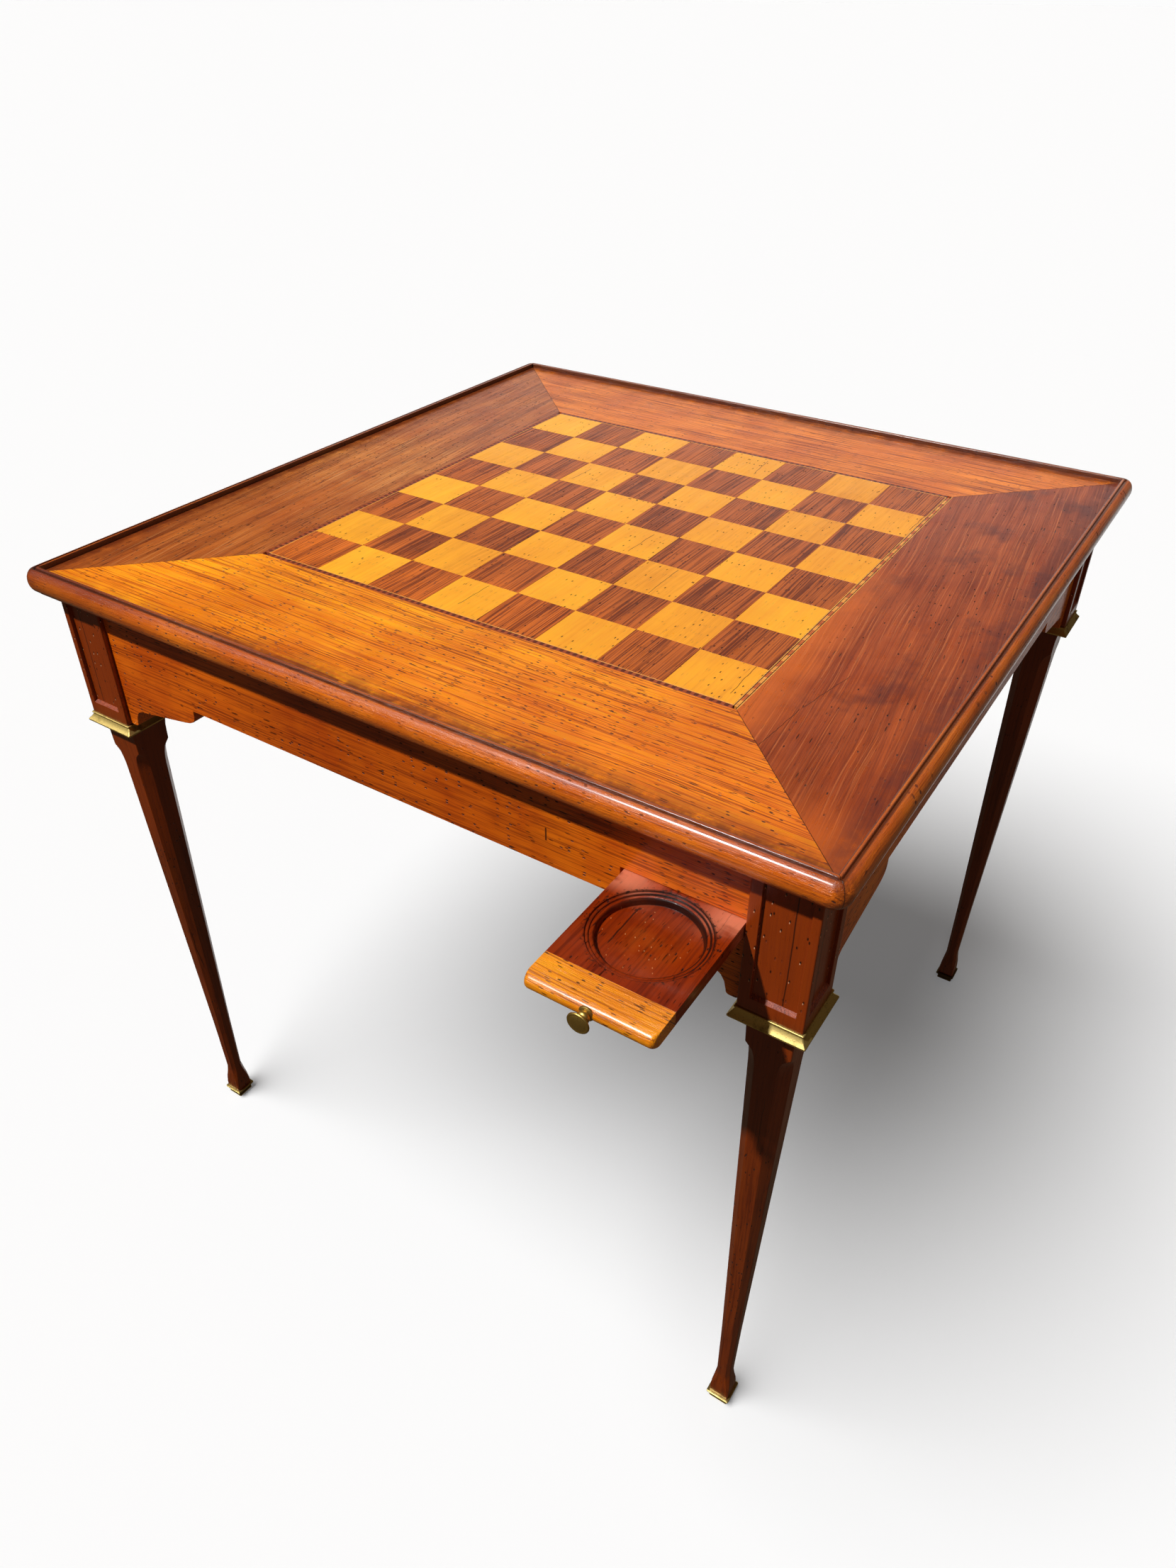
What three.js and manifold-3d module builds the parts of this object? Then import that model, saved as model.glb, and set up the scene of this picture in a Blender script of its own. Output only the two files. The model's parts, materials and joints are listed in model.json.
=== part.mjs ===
// Square games table with a lift-off chess top over a tric trac well, and a candle slide for each player.
// Millimetres, +Z up. The origin is on the floor under the middle of the table.
// The front is -Y and the right is +X, as seen by the player who sits at the front.
import * as THREE from 'three';
import { mergeVertices } from 'three/addons/utils/BufferGeometryUtils.js';
import Module from 'manifold-3d';

const wasm = await Module();
wasm.setup();

// Whole table
const tableHeight = 745.5;        // floor to the highest edge of the rim
const topWidth = 803;             // across the rim, both ways
const overhang = 19.5;            // rim beyond the posts

// Top
const rimRise = 4.5;              // rim above the playing surface
const rimWidth = 13;              // inner face of the rim to its outermost point
const rimFilletWidth = 3.2;       // flat fillet at the rim's inner edge
const rimQuirkWidth = 2.2;        // groove between fillet and bullnose
const rimQuirkDepth = 2;
const rimQuirkSlope = 0.5;        // run of the groove's sloping sides
const rimLowerFillet = 2.5;       // square fillet under the bullnose
const rimSkirt = 6;               // rim below the underside of the panel
const squareSize = 61;
const squareCount = 8;
const squareJoint = 0.3;          // line of the light sheet left between two dark squares' corners
const stringingWidth = 5.75;
const veneerThickness = 3;
const coreThickness = 8.5;
const reverseBorderWidth = 72;    // boards round the baize on the underside
const topSeatGap = 0.3;           // running gap between the top and the capping
const topSideGap = 0.6;           // between the rim and the capping's edge

// Capping and well
const cappingThickness = 6;
const liningThickness = 8;
const wellFloorThickness = 8;
const wellFloorHousing = 6;       // depth of the floor's edge in the aprons
const partitionThickness = 6;
const partitionHeight = 34;
const trayWidth = 36;             // counters' tray between partition and lining
const barWidth = 16;
const barHeight = 10;
const pointsPerQuarter = 6;
const pointLength = 225;
const pointThickness = 1;
const pointGap = 1.2;             // bare floor between the feet of two points
const pointFootInset = 0.5;
const scoreHoleRadius = 2.2;
const scoreHoleDepth = 4;
const scoreHoleInset = 16;        // from the lining's face to the holes
const scoreHoleSideCount = 8;

// Posts and aprons
const postWidth = 52;
const postLength = 130.2;         // capping to the bottom of the post
const postArris = 0.8;            // small bevel on the edges
const panelDepth = 3;             // sunk panel of a post
const panelInnerStile = 9.5;
const panelOuterStile = 7;
const panelBottomRail = 12.5;
const panelTopRail = 5;
const apronSetback = 4.5;         // apron face behind the post's face
const apronThickness = 20;
const apronHeight = 80;           // capping to the straight bottom edge
const pendantWidth = 11;          // hanging tip of the apron beside each post
const pendantRound = 4;
const pendantClearance = 1.2;     // pendant above the collar
const archRiseShare = 0.418;      // shares of the rise from the pendant's tip to the straight edge
const archWidth = 15;
const archLeanShare = 0.13;       // how far the arch's quick rise leans away from the pendant
const slopeWidth = 61;            // gentle rise from the arch to the lobe
const slopeRiseShare = 0.224;
const lobeWidth = 15;
const lobeRoundShare = 0.05;
const lobeStepShare = 0.116;      // upright step at the inner side of the lobe
const tenonLength = 20;
const tenonThickness = 8;
const tenonHeight = 32;
const tenonTopInset = 8;          // upper tenon below the top of the apron
const tenonFootInset = 14.2;      // lower tenon above the bottom of the post

// Collar, leg and foot
const collarHeight = 9.7;
const collarWidth = 61.6;
const collarBeadWidth = 54.8;
const collarBeadHeight = 1.6;
const collarQuirkWidth = 53;
const collarQuirkHeight = 0.8;
const collarLipHeight = 1.3;
const collarSeatInset = 2.2;      // rebate in the leg behind the collar
const legTopWidth = 38;
const legAnkleWidth = 14.8;
const legNeckWidth = 46;
const legNeckHeight = 24;
const legTaperPower = 1.2;
const chamferShare = 0.25;        // chamfer's leg as a share of the leg's width
const chamferStopDrop = 31;       // collar's bottom edge to the top of the chamfers
const chamferStopLength = 26;
const legToeIn = 2.5;             // foot nearer the middle than the post
const ankleHeight = 50;
const footWidth = 20.4;
const footSpigotWidth = 15;
const footSwellShares = [[0.72, 0.42, 0.2], [0.45, 0.85, 0.12], [0.2, 1, 0.07]];
const sabotHeight = 10.5;
const sabotLipWidth = 24.5;
const sabotLipHeight = 2.4;
const sabotTopWidth = 21;
const sabotFootWidth = 18.6;
const sabotFloor = 2.5;

// Slides
const slideWidth = 98;
const slideThickness = 12.5;
const slideDrop = 73.5;           // playing surface to the top of the slide
const slideReach = 125.5;         // front of the clamp beyond the apron's face, as photographed
const slideTail = 50;             // length behind the apron's face
const slideSideGap = 0.8;
const slideRunningGap = 0.5;      // above and below the slide
const slotFreeSide = 3.2;         // slot beyond the slide on the side away from the post
const slideOutTravel = 4;         // further out, until the stop peg meets the apron
const slideClosedReach = 6.5;     // nose beyond the apron's face when the slide is pushed home
const clampWidth = 27.5;
const clampCornerRadius = 4;
const tongueLength = 7;
const tongueThickness = 4;
const tongueInset = 8;            // tongue short of the clamp's ends
const dishRadius = 44;
const dishSetback = 47;           // apron's face to the dish's centre
const dishLedge = 1.5;            // depth of the ring ledge
const dishRingWidth = 5.5;
const dishWall = 2.2;             // run of the sloping wall
const dishDepth = 7;
const dishCrown = 1.2;            // floor rises towards the middle
const dishCrownShare = 0.75;      // of that rise, reached half-way in
const pegRadius = 4;
const pegDrop = 8;
const pegSeat = 6;
const runnerWeb = 8;
const runnerLip = 6;
const runnerLipThickness = 5;
const runnerToeReach = 12;        // end stop that the slide's tail meets
const runnerToeThickness = 9;

// Knob
const knobSeat = 1.6;             // flat let into the round nose
const knobRoseRadius = 5.8;
const knobRoseThickness = 2.4;
const knobNeckRadius = 2.9;
const knobBallRadius = 4.7;
const knobBallLength = 4.6;
const knobHeadRadius = 8.3;
const knobHeadStart = 8.6;
const knobHeadThickness = 3.4;
const knobBevelShare = 0.25;      // bevels as shares of the head's thickness
const knobShankRadius = 2;
const knobShankLength = 11;

// Clearances, cutters and roundness
const fit = 0.3;                  // between pieces that are housed in each other
const overrun = 1;                // how far a cutter passes the face it opens
const arcStepCount = 4;
const noseStepCount = 8;
const taperStepCount = 6;
const roundSideCount = 24;
const dishSideCount = 40;

// Levels and reaches that follow from the sizes above
const boardHeight = tableHeight - rimRise;
const panelThickness = coreThickness + 2 * veneerThickness;
const undersideHeight = boardHeight - panelThickness;
const cappingTop = undersideHeight - topSeatGap;
const carcassTop = cappingTop - cappingThickness;
const rimReach = topWidth / 2;
const rimInner = rimReach - rimWidth;
const cappingOuter = rimInner - topSideGap;
const postOuter = rimReach - overhang;
const postInner = postOuter - postWidth;
const postCentre = postOuter - postWidth / 2;
const apronFace = postOuter - apronSetback;
const apronInner = apronFace - apronThickness;
const apronEnd = postInner - fit;
const liningOuter = postInner - fit;
const liningInner = liningOuter - liningThickness;
const postFootHeight = carcassTop - postLength;
const collarBottom = postFootHeight - collarHeight;
const collarSeatWidth = postWidth - 2 * collarSeatInset;
const boardHalf = squareSize * squareCount / 2;
const stringingOuter = boardHalf + stringingWidth;
const slideTop = boardHeight - slideDrop;
const slideBottom = slideTop - slideThickness;
const slideMiddle = slideTop - slideThickness / 2;
const slotTop = slideTop + slideRunningGap;
const slotBottom = slideBottom - slideRunningGap;
const wellFloorTop = slotTop + wellFloorThickness;
const slideRight = postInner - slideSideGap;
const slideLeft = slideRight - slideWidth;
const slideCentre = slideRight - slideWidth / 2;
const slideFront = -apronFace - slideReach;
const slideTailEnd = -apronFace + slideTail;
const slideInTravel = slideReach - slideClosedReach;
const clampBack = slideFront + clampWidth;
const partitionInner = liningInner - trayWidth - partitionThickness;
const pointWidth = (partitionInner - barWidth / 2) / pointsPerQuarter;
const quarterTurn = Math.PI / 2;

// Finishes
function finish(color, roughness, metalness = 0) {
  return new THREE.MeshStandardMaterial({ color, roughness, metalness });
}

const borderFinish = finish(0xa85c28, 0.32);
const lightSquareFinish = finish(0xe3a548, 0.35);
const darkSquareFinish = finish(0x6e3a20, 0.35);
const stringingFinish = finish(0xd9a860, 0.4);
const rimFinish = finish(0xa04e20, 0.22);
const coreFinish = finish(0xc09a66, 0.7);
const baizeFinish = finish(0x2f5a3a, 0.95);
const apronFinish = finish(0xb4651e, 0.38);
const legFinish = finish(0x6b3115, 0.38);
const wellFinish = finish(0x7a4a24, 0.5);
const lightPointFinish = finish(0xd8b070, 0.45);
const darkPointFinish = finish(0x2b1a12, 0.45);
const hiddenFinish = finish(0xb08a58, 0.8);
const slideFinish = finish(0x7e3016, 0.3);
const clampFinish = finish(0xd08a2c, 0.35);
const brassFinish = finish(0xb89a56, 0.3, 1);
const agedBrassFinish = finish(0x7a6a3c, 0.4, 1);

// Shared shape helpers

// Merges shared corners, drops collapsed triangles and makes the faces point outwards
function welded(geometry) {
  const bare = geometry.clone();
  bare.deleteAttribute('normal');
  bare.deleteAttribute('uv');
  const merged = mergeVertices(bare);
  const point = (index) => new THREE.Vector3().fromBufferAttribute(merged.attributes.position, index);
  const faces = [];
  let volume = 0;
  for (let start = 0; start < merged.index.count; start += 3) {
    const [a, b, c] = [0, 1, 2].map((corner) => merged.index.getX(start + corner));
    if (a !== b && b !== c && c !== a) {
      faces.push([a, b, c]);
      volume += point(a).dot(point(b).cross(point(c)));
    }
  }
  merged.setIndex(faces.flatMap(([a, b, c]) => (volume > 0 ? [a, b, c] : [a, c, b])));
  return merged;
}

function closedGeometry(vertices, faces) {
  const geometry = new THREE.BufferGeometry();
  geometry.setAttribute('position', new THREE.Float32BufferAttribute(vertices.flat(), 3));
  geometry.setIndex(faces.flat());
  return welded(geometry);
}

function toSolid(geometry) {
  const closed = welded(geometry);
  return new wasm.Manifold(new wasm.Mesh({
    numProp: 3,
    vertProperties: new Float32Array(closed.attributes.position.array),
    triVerts: new Uint32Array(closed.index.array),
  }));
}

function toGeometry(solid) {
  const mesh = solid.getMesh();
  const geometry = new THREE.BufferGeometry();
  geometry.setAttribute('position', new THREE.BufferAttribute(new Float32Array(mesh.vertProperties), 3));
  geometry.setIndex(new THREE.BufferAttribute(new Uint32Array(mesh.triVerts), 1));
  return geometry;
}

function joined(geometry, additions) {
  return toGeometry(additions.reduce((solid, addition) => solid.add(toSolid(addition)), toSolid(geometry)));
}

function cutAway(geometry, cutters) {
  return toGeometry(cutters.reduce((solid, cutter) => solid.subtract(toSolid(cutter)), toSolid(geometry)));
}

function common(geometry, other) {
  return toGeometry(toSolid(geometry).intersect(toSolid(other)));
}

// Box between two corners
function block(low, high) {
  const geometry = new THREE.BoxGeometry();
  const { array } = geometry.attributes.position;
  for (let index = 0; index < array.length; index += 1) {
    array[index] = (array[index] < 0 ? low : high)[index % 3];
  }
  return geometry;
}

function planShape(outline) {
  return new THREE.Shape(outline.map(([x, y]) => new THREE.Vector2(x, y)));
}

// Shape extruded between two ends. Each point is placed from its own numbers, so neighbours share exact faces.
function extruded(shape, curveSegments, place) {
  const geometry = new THREE.ExtrudeGeometry(shape, { depth: 1, bevelEnabled: false, curveSegments });
  const { position } = geometry.attributes;
  for (let index = 0; index < position.count; index += 1) {
    position.setXYZ(index, ...place(position.getX(index), position.getY(index), position.getZ(index) > 0));
  }
  return welded(geometry);
}

// Plan outline raised from one level to another
function slab(shape, bottom, top) {
  return extruded(shape, arcStepCount, (x, y, far) => [x, y, far ? top : bottom]);
}

// Outline in X and Z, extruded from one Y to another
function upright(shape, nearY, farY) {
  return extruded(shape, arcStepCount, (x, z, far) => [x, far ? farY : nearY, z]);
}

// Outline in Y and Z, extruded from one X to another
function lengthwise(shape, nearX, farX) {
  return extruded(shape, noseStepCount, (y, z, far) => [far ? farX : nearX, y, z]);
}

// Profile of [radius, height] pairs turned about a line along +Z through the origin
function turnedPiece(profile, steps) {
  const points = profile.map(([radius, height]) => new THREE.Vector2(radius, height));
  const geometry = new THREE.LatheGeometry(points, steps);
  geometry.rotateX(quarterTurn);
  return welded(geometry);
}

function rod(radius, length, steps = roundSideCount) {
  return turnedPiece([[0, 0], [radius, 0], [radius, length], [0, length]], steps);
}

// Exact quarter turns of a plan point, so that mitred neighbours share their faces
function turned([x, y], quarters) {
  let point = [x, y];
  for (let turn = 0; turn < quarters; turn += 1) {
    point = [-point[1], point[0]];
  }
  return point;
}

function named(name, geometry, material) {
  const mesh = new THREE.Mesh(geometry, material);
  mesh.name = name;
  return mesh;
}

// A copy of the front or front right piece at each side or corner, turned about the middle of the table
const sides = ['front', 'right', 'back', 'left'];
const corners = ['front_right', 'back_right', 'back_left', 'front_left'];

function around(places, prefix, material, geometryAt) {
  return places.map((place, quarters) => {
    const mesh = named(`${prefix}_${place}`, geometryAt(place), material);
    mesh.rotation.z = quarters * quarterTurn;
    return mesh;
  });
}

// Four flat boards mitred at the corners of a square
function mitredBoards(prefix, inner, outer, bottom, top, material) {
  const outline = [[-outer, -outer], [outer, -outer], [inner, -inner], [-inner, -inner]];
  return sides.map((side, quarters) => {
    const shape = planShape(outline.map((point) => turned(point, quarters)));
    return named(`${prefix}_${side}`, slab(shape, bottom, top), material);
  });
}

// One side of a moulding round a square, from mitre to mitre. The profile is a closed list of [reach, height].
// What reaches past the inner face goes round the corners as arcs.
function mitredMoulding(profile, innerFace, quarters) {
  const mitreAngle = quarterTurn / 2;
  const stations = [-1, 1].flatMap((side) => Array.from({ length: arcStepCount + 1 }, (_, step) => {
    const share = (side < 0 ? arcStepCount - step : step) / arcStepCount;
    return { side, angle: share * mitreAngle };
  }));
  const vertices = stations.flatMap(({ side, angle }) => profile.map(([reach, height]) => {
    const along = angle === mitreAngle ? Math.SQRT1_2 : Math.sin(angle);
    const out = angle === mitreAngle ? Math.SQRT1_2 : Math.cos(angle);
    const radius = reach - innerFace;
    const plan = [side * (innerFace + radius * along), -(innerFace + radius * out)];
    return [...turned(plan, quarters), height];
  }));
  const count = profile.length;
  const faces = [];
  for (let ring = 0; ring < stations.length - 1; ring += 1) {
    for (let point = 0; point < count; point += 1) {
      const next = (point + 1) % count;
      const here = ring * count;
      const there = here + count;
      const [a, b, c, d] = [here + point, here + next, there + next, there + point];
      faces.push([a, b, c], [a, c, d]);
    }
  }
  const contour = profile.map(([reach, height]) => new THREE.Vector2(reach, height));
  const last = (stations.length - 1) * count;
  const clockwise = THREE.ShapeUtils.isClockWise(contour);
  for (const [a, b, c] of THREE.ShapeUtils.triangulateShape(contour, [])) {
    const [p, q, r] = clockwise ? [a, b, c] : [a, c, b];
    faces.push([p, q, r], [last + p, last + r, last + q]);
  }
  return closedGeometry(vertices, faces);
}

// Square bar with four chamfered edges through sections given from the top down.
// A shift moves a section towards the middle of the table from its front right corner.
function chamferedLoft(sections) {
  const ringSize = 8;
  const vertices = sections.flatMap(({ height, width, chamfer, shift = 0 }) => {
    const half = width / 2;
    const flat = half - chamfer;
    const quarter = [[half, -flat], [half, flat]];
    const ring = [0, 1, 2, 3].flatMap((quarters) => quarter.map((point) => turned(point, quarters)));
    return ring.map(([x, y]) => [x - shift, y + shift, height]);
  });
  const faces = [];
  for (let section = 0; section < sections.length - 1; section += 1) {
    const upper = section * ringSize;
    const lower = upper + ringSize;
    for (let corner = 0; corner < ringSize; corner += 1) {
      const next = (corner + 1) % ringSize;
      const [a, b, c, d] = [upper + corner, lower + corner, lower + next, upper + next];
      faces.push([a, b, c], [a, c, d]);
    }
  }
  const last = (sections.length - 1) * ringSize;
  for (let corner = 1; corner < ringSize - 1; corner += 1) {
    faces.push([0, corner, corner + 1], [last, last + corner + 1, last + corner]);
  }
  return closedGeometry(vertices, faces);
}

// Top: core, chess squares, borders, rim, and the baize side underneath

// The dark squares rise from a thin ground sheet through the light squares' sheet
function chessField() {
  const bottom = boardHeight - veneerThickness;
  const sheetTop = boardHeight - veneerThickness / 2;
  const counts = Array.from({ length: squareCount }, (_, count) => count);
  const edge = (count) => count * squareSize - boardHalf;
  const squareAt = (column, row) => block(
    [edge(column) + squareJoint / 2, edge(row) + squareJoint / 2, bottom],
    [edge(column + 1) - squareJoint / 2, edge(row + 1) - squareJoint / 2, boardHeight],
  );
  const darkRows = (column) => counts.filter((row) => (column + row) % 2 === 0);
  const squares = counts.flatMap((column) => darkRows(column).map((row) => squareAt(column, row)));
  const darkSheet = block([-boardHalf, -boardHalf, bottom], [boardHalf, boardHalf, sheetTop]);
  const lightSheet = block([-boardHalf, -boardHalf, sheetTop], [boardHalf, boardHalf, boardHeight]);
  return [
    named('dark_squares', joined(darkSheet, squares), darkSquareFinish),
    named('light_squares', cutAway(lightSheet, squares), lightSquareFinish),
  ];
}

function stringingBand() {
  const bottom = boardHeight - veneerThickness;
  const square = (half, low, high) => block([-half, -half, low], [half, half, high]);
  const band = square(stringingOuter, bottom, boardHeight);
  return cutAway(band, [square(boardHalf, bottom - overrun, boardHeight + overrun)]);
}

function rimProfile() {
  const rimBottom = undersideHeight - rimSkirt;
  const noseStart = rimInner + rimFilletWidth + rimQuirkWidth;
  const noseTop = tableHeight - rimQuirkSlope;
  const noseBottom = rimBottom + rimLowerFillet;
  const quirkFloor = tableHeight - rimQuirkDepth;
  const noseReach = rimReach - noseStart;
  const noseHalf = (noseTop - noseBottom) / 2;
  const nose = Array.from({ length: noseStepCount + 1 }, (_, step) => {
    const angle = quarterTurn - step / noseStepCount * 2 * quarterTurn;
    return [noseStart + noseReach * Math.cos(angle), noseBottom + noseHalf * (1 + Math.sin(angle))];
  });
  return [
    [rimInner, rimBottom],
    [rimInner, tableHeight],
    [rimInner + rimFilletWidth, tableHeight],
    [rimInner + rimFilletWidth + rimQuirkSlope, quirkFloor],
    [noseStart - rimQuirkSlope, quirkFloor],
    ...nose,
    [noseStart, rimBottom],
  ];
}

function topParts() {
  const reverseTop = undersideHeight + veneerThickness;
  const coreTop = boardHeight - veneerThickness;
  const core = block([-rimInner, -rimInner, reverseTop], [rimInner, rimInner, coreTop]);
  const baizeHalf = rimInner - reverseBorderWidth;
  const baize = block([-baizeHalf, -baizeHalf, undersideHeight], [baizeHalf, baizeHalf, reverseTop]);
  const profile = rimProfile();
  const rims = sides.map((side, quarters) => mitredMoulding(profile, rimInner, quarters));
  return [
    named('top_core', core, coreFinish),
    ...mitredBoards('border', stringingOuter, rimInner, coreTop, boardHeight, borderFinish),
    ...chessField(),
    named('stringing', stringingBand(), stringingFinish),
    ...rims.map((rim, quarters) => named(`rim_${sides[quarters]}`, rim, rimFinish)),
    ...mitredBoards('reverse_border', baizeHalf, rimInner, undersideHeight, reverseTop, borderFinish),
    named('baize_panel', baize, baizeFinish),
  ];
}

// Legs: post, neck, octagonal taper and flared foot are one timber

function legSections() {
  const taperTop = collarBottom - legNeckHeight;
  const chamferTop = collarBottom - chamferStopDrop;
  const chamferFull = chamferTop - chamferStopLength;
  const widthAt = (height) => {
    const share = (height - ankleHeight) / (taperTop - ankleHeight);
    return legAnkleWidth + (legTopWidth - legAnkleWidth) * share ** legTaperPower;
  };
  const sections = [];
  const add = (height, width, chamfer = postArris) => {
    const shift = legToeIn * (1 - Math.min(height / taperTop, 1));
    sections.push({ height, width, chamfer, shift });
  };
  add(carcassTop, postWidth);
  add(postFootHeight, postWidth);
  add(postFootHeight, collarSeatWidth);
  add(collarBottom, collarSeatWidth);
  for (let step = 0; step <= arcStepCount; step += 1) {
    const angle = step / arcStepCount * quarterTurn;
    const swell = (legNeckWidth - legTopWidth) * (1 - Math.sin(angle));
    add(collarBottom - legNeckHeight * (1 - Math.cos(angle)), legTopWidth + swell);
  }
  add(chamferTop, widthAt(chamferTop));
  for (let step = 1; step <= arcStepCount; step += 1) {
    const share = step / arcStepCount;
    const height = chamferTop - chamferStopLength * share;
    const full = chamferShare * widthAt(height);
    add(height, widthAt(height), postArris + (full - postArris) * Math.sqrt(1 - (1 - share) ** 2));
  }
  for (let step = 1; step <= taperStepCount; step += 1) {
    const height = THREE.MathUtils.lerp(chamferFull, ankleHeight, step / taperStepCount);
    add(height, widthAt(height), chamferShare * widthAt(height));
  }
  const shoulder = sabotHeight + fit;
  for (const [heightShare, swellShare, cutShare] of footSwellShares) {
    const width = legAnkleWidth + (footWidth - legAnkleWidth) * swellShare;
    add(shoulder + (ankleHeight - shoulder) * heightShare, width, cutShare * width);
  }
  add(shoulder, footWidth);
  add(shoulder, footSpigotWidth);
  add(sabotFloor + fit, footSpigotWidth);
  return sections;
}

function tenonLevels() {
  const top = carcassTop - tenonTopInset;
  const bottom = postFootHeight + tenonFootInset;
  return [[top - tenonHeight, top], [bottom, bottom + tenonHeight]];
}

function legGeometry() {
  const timber = chamferedLoft(legSections());
  timber.translate(postCentre, -postCentre, 0);
  const tenonFace = -apronFace + (apronThickness - tenonThickness) / 2;
  const panel = [
    [postInner + panelInnerStile, -postOuter - overrun, postFootHeight + panelBottomRail],
    [postOuter - panelOuterStile, -postOuter + panelDepth, carcassTop - panelTopRail],
  ];
  const mortises = tenonLevels().map(([low, high]) => [
    [postInner - overrun, tenonFace - fit, low - fit],
    [postInner + tenonLength + fit, tenonFace + tenonThickness + fit, high + fit],
  ]);
  // The same cuts on the two other faces, across the corner's diagonal
  const acrossDiagonal = ([low, high]) => [[-high[1], -high[0], low[2]], [-low[1], -low[0], high[2]]];
  const cuts = [panel, ...mortises];
  return cutAway(timber, [...cuts, ...cuts.map(acrossDiagonal)].map(([low, high]) => block(low, high)));
}

function collarGeometry() {
  const top = postFootHeight - fit;
  const quirkTop = top - collarBeadHeight;
  const coveTop = quirkTop - collarQuirkHeight;
  const lipTop = collarBottom + collarLipHeight;
  const cove = Array.from({ length: arcStepCount + 1 }, (_, step) => {
    const angle = step / arcStepCount * quarterTurn;
    return {
      height: coveTop - (coveTop - lipTop) * Math.sin(angle),
      width: collarQuirkWidth + (collarWidth - collarQuirkWidth) * (1 - Math.cos(angle)),
    };
  });
  const sections = [
    { height: top, width: collarBeadWidth },
    { height: quirkTop, width: collarBeadWidth },
    { height: quirkTop, width: collarQuirkWidth },
    ...cove,
    { height: collarBottom, width: collarWidth },
  ].map((section) => ({ ...section, chamfer: postArris }));
  const ring = chamferedLoft(sections);
  const half = collarSeatWidth / 2 + fit;
  const core = block([-half, -half, collarBottom - overrun], [half, half, postFootHeight + overrun]);
  const moulding = cutAway(ring, [core]);
  moulding.translate(postCentre, -postCentre, 0);
  return moulding;
}

function sabotGeometry() {
  const lipBottom = sabotHeight - sabotLipHeight;
  const cup = chamferedLoft([
    { height: sabotHeight, width: sabotLipWidth, chamfer: postArris },
    { height: lipBottom, width: sabotLipWidth, chamfer: postArris },
    { height: lipBottom, width: sabotTopWidth, chamfer: postArris },
    { height: 0, width: sabotFootWidth, chamfer: postArris },
  ]);
  const half = footSpigotWidth / 2 + fit;
  const shoe = cutAway(cup, [block([-half, -half, sabotFloor], [half, half, sabotHeight + overrun])]);
  shoe.translate(postCentre - legToeIn, -postCentre + legToeIn, 0);
  return shoe;
}

// Aprons

// Half of the shaped lower edge, from the end beside a post to the straight part, as drawing commands
function traceLowerEdge(shape, side, inwards) {
  const place = (fromEnd) => side * (apronEnd - fromEnd);
  const tip = postFootHeight + pendantClearance;
  const archStart = pendantWidth;
  const archEnd = archStart + archWidth;
  const slopeEnd = archEnd + slopeWidth;
  const lobeEnd = slopeEnd + lobeWidth;
  const straight = carcassTop - apronHeight;
  const rise = straight - tip;
  const archTop = tip + rise * archRiseShare;
  const slopeTop = archTop + rise * slopeRiseShare;
  const lobeTop = straight - rise * lobeStepShare;
  const corners = [
    { to: [0, tip + pendantRound] },
    { to: [pendantRound, tip], by: [0, tip] },
    { to: [pendantWidth - pendantRound, tip] },
    { to: [archStart, tip + pendantRound], by: [pendantWidth, tip] },
    { to: [archEnd, archTop], by: [archStart + archLeanShare * archWidth, archTop] },
    { to: [slopeEnd, slopeTop] },
    { to: [lobeEnd, lobeTop], by: [lobeEnd, slopeTop + rise * lobeRoundShare] },
    { to: [lobeEnd, straight] },
  ];
  const steps = inwards ? corners : corners.map((corner, count) => ({
    to: count > 0 ? corners[count - 1].to : corner.to,
    by: corner.by,
  })).reverse();
  for (const { to, by } of steps) {
    if (by) {
      shape.quadraticCurveTo(place(by[0]), by[1], place(to[0]), to[1]);
    } else {
      shape.lineTo(place(to[0]), to[1]);
    }
  }
}

function apronGeometry(side) {
  const shape = new THREE.Shape();
  shape.moveTo(-apronEnd, carcassTop);
  traceLowerEdge(shape, -1, true);
  const straightEnd = apronEnd - pendantWidth - archWidth - slopeWidth - lobeWidth;
  shape.lineTo(straightEnd, carcassTop - apronHeight);
  traceLowerEdge(shape, 1, false);
  shape.lineTo(apronEnd, carcassTop);
  const board = upright(shape, -apronFace, -apronInner);
  const tenonFace = -apronFace + (apronThickness - tenonThickness) / 2;
  const tenonBack = tenonFace + tenonThickness;
  const tenonEnd = postInner + tenonLength;
  const tenons = tenonLevels().flatMap(([low, high]) => [
    block([-tenonEnd, tenonFace, low], [-apronEnd + overrun, tenonBack, high]),
    block([apronEnd - overrun, tenonFace, low], [tenonEnd, tenonBack, high]),
  ]);
  const housing = block(
    [-apronEnd - overrun, -apronInner - wellFloorHousing, slotTop],
    [apronEnd + overrun, -apronInner + overrun, wellFloorTop + fit],
  );
  const slot = block(
    [slideLeft - slotFreeSide, -apronFace - overrun, slotBottom],
    [apronEnd + overrun, -apronInner + overrun, slotTop],
  );
  const hasSlide = side === 'front' || side === 'back';
  return cutAway(joined(board, tenons), hasSlide ? [housing, slot] : [housing]);
}

// Well: floor, lining, capping, partitions, bar and points

function wellFloorGeometry() {
  const reach = apronInner + wellFloorHousing - fit;
  const notch = postInner - fit;
  const corner = [[reach, -notch], [reach, notch], [notch, notch]];
  const outline = [0, 1, 2, 3].flatMap((quarters) => corner.map((point) => turned(point, quarters)));
  return slab(planShape(outline), slotTop, wellFloorTop);
}

// Middles of the points along the front, from left to right
function pointCentres() {
  return [-1, 1].flatMap((half) => Array.from({ length: pointsPerQuarter }, (_, count) => {
    const fromBar = half < 0 ? pointsPerQuarter - count : count + 1;
    return half * (barWidth / 2 + pointWidth * (fromBar - 1 / 2));
  }));
}

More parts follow.
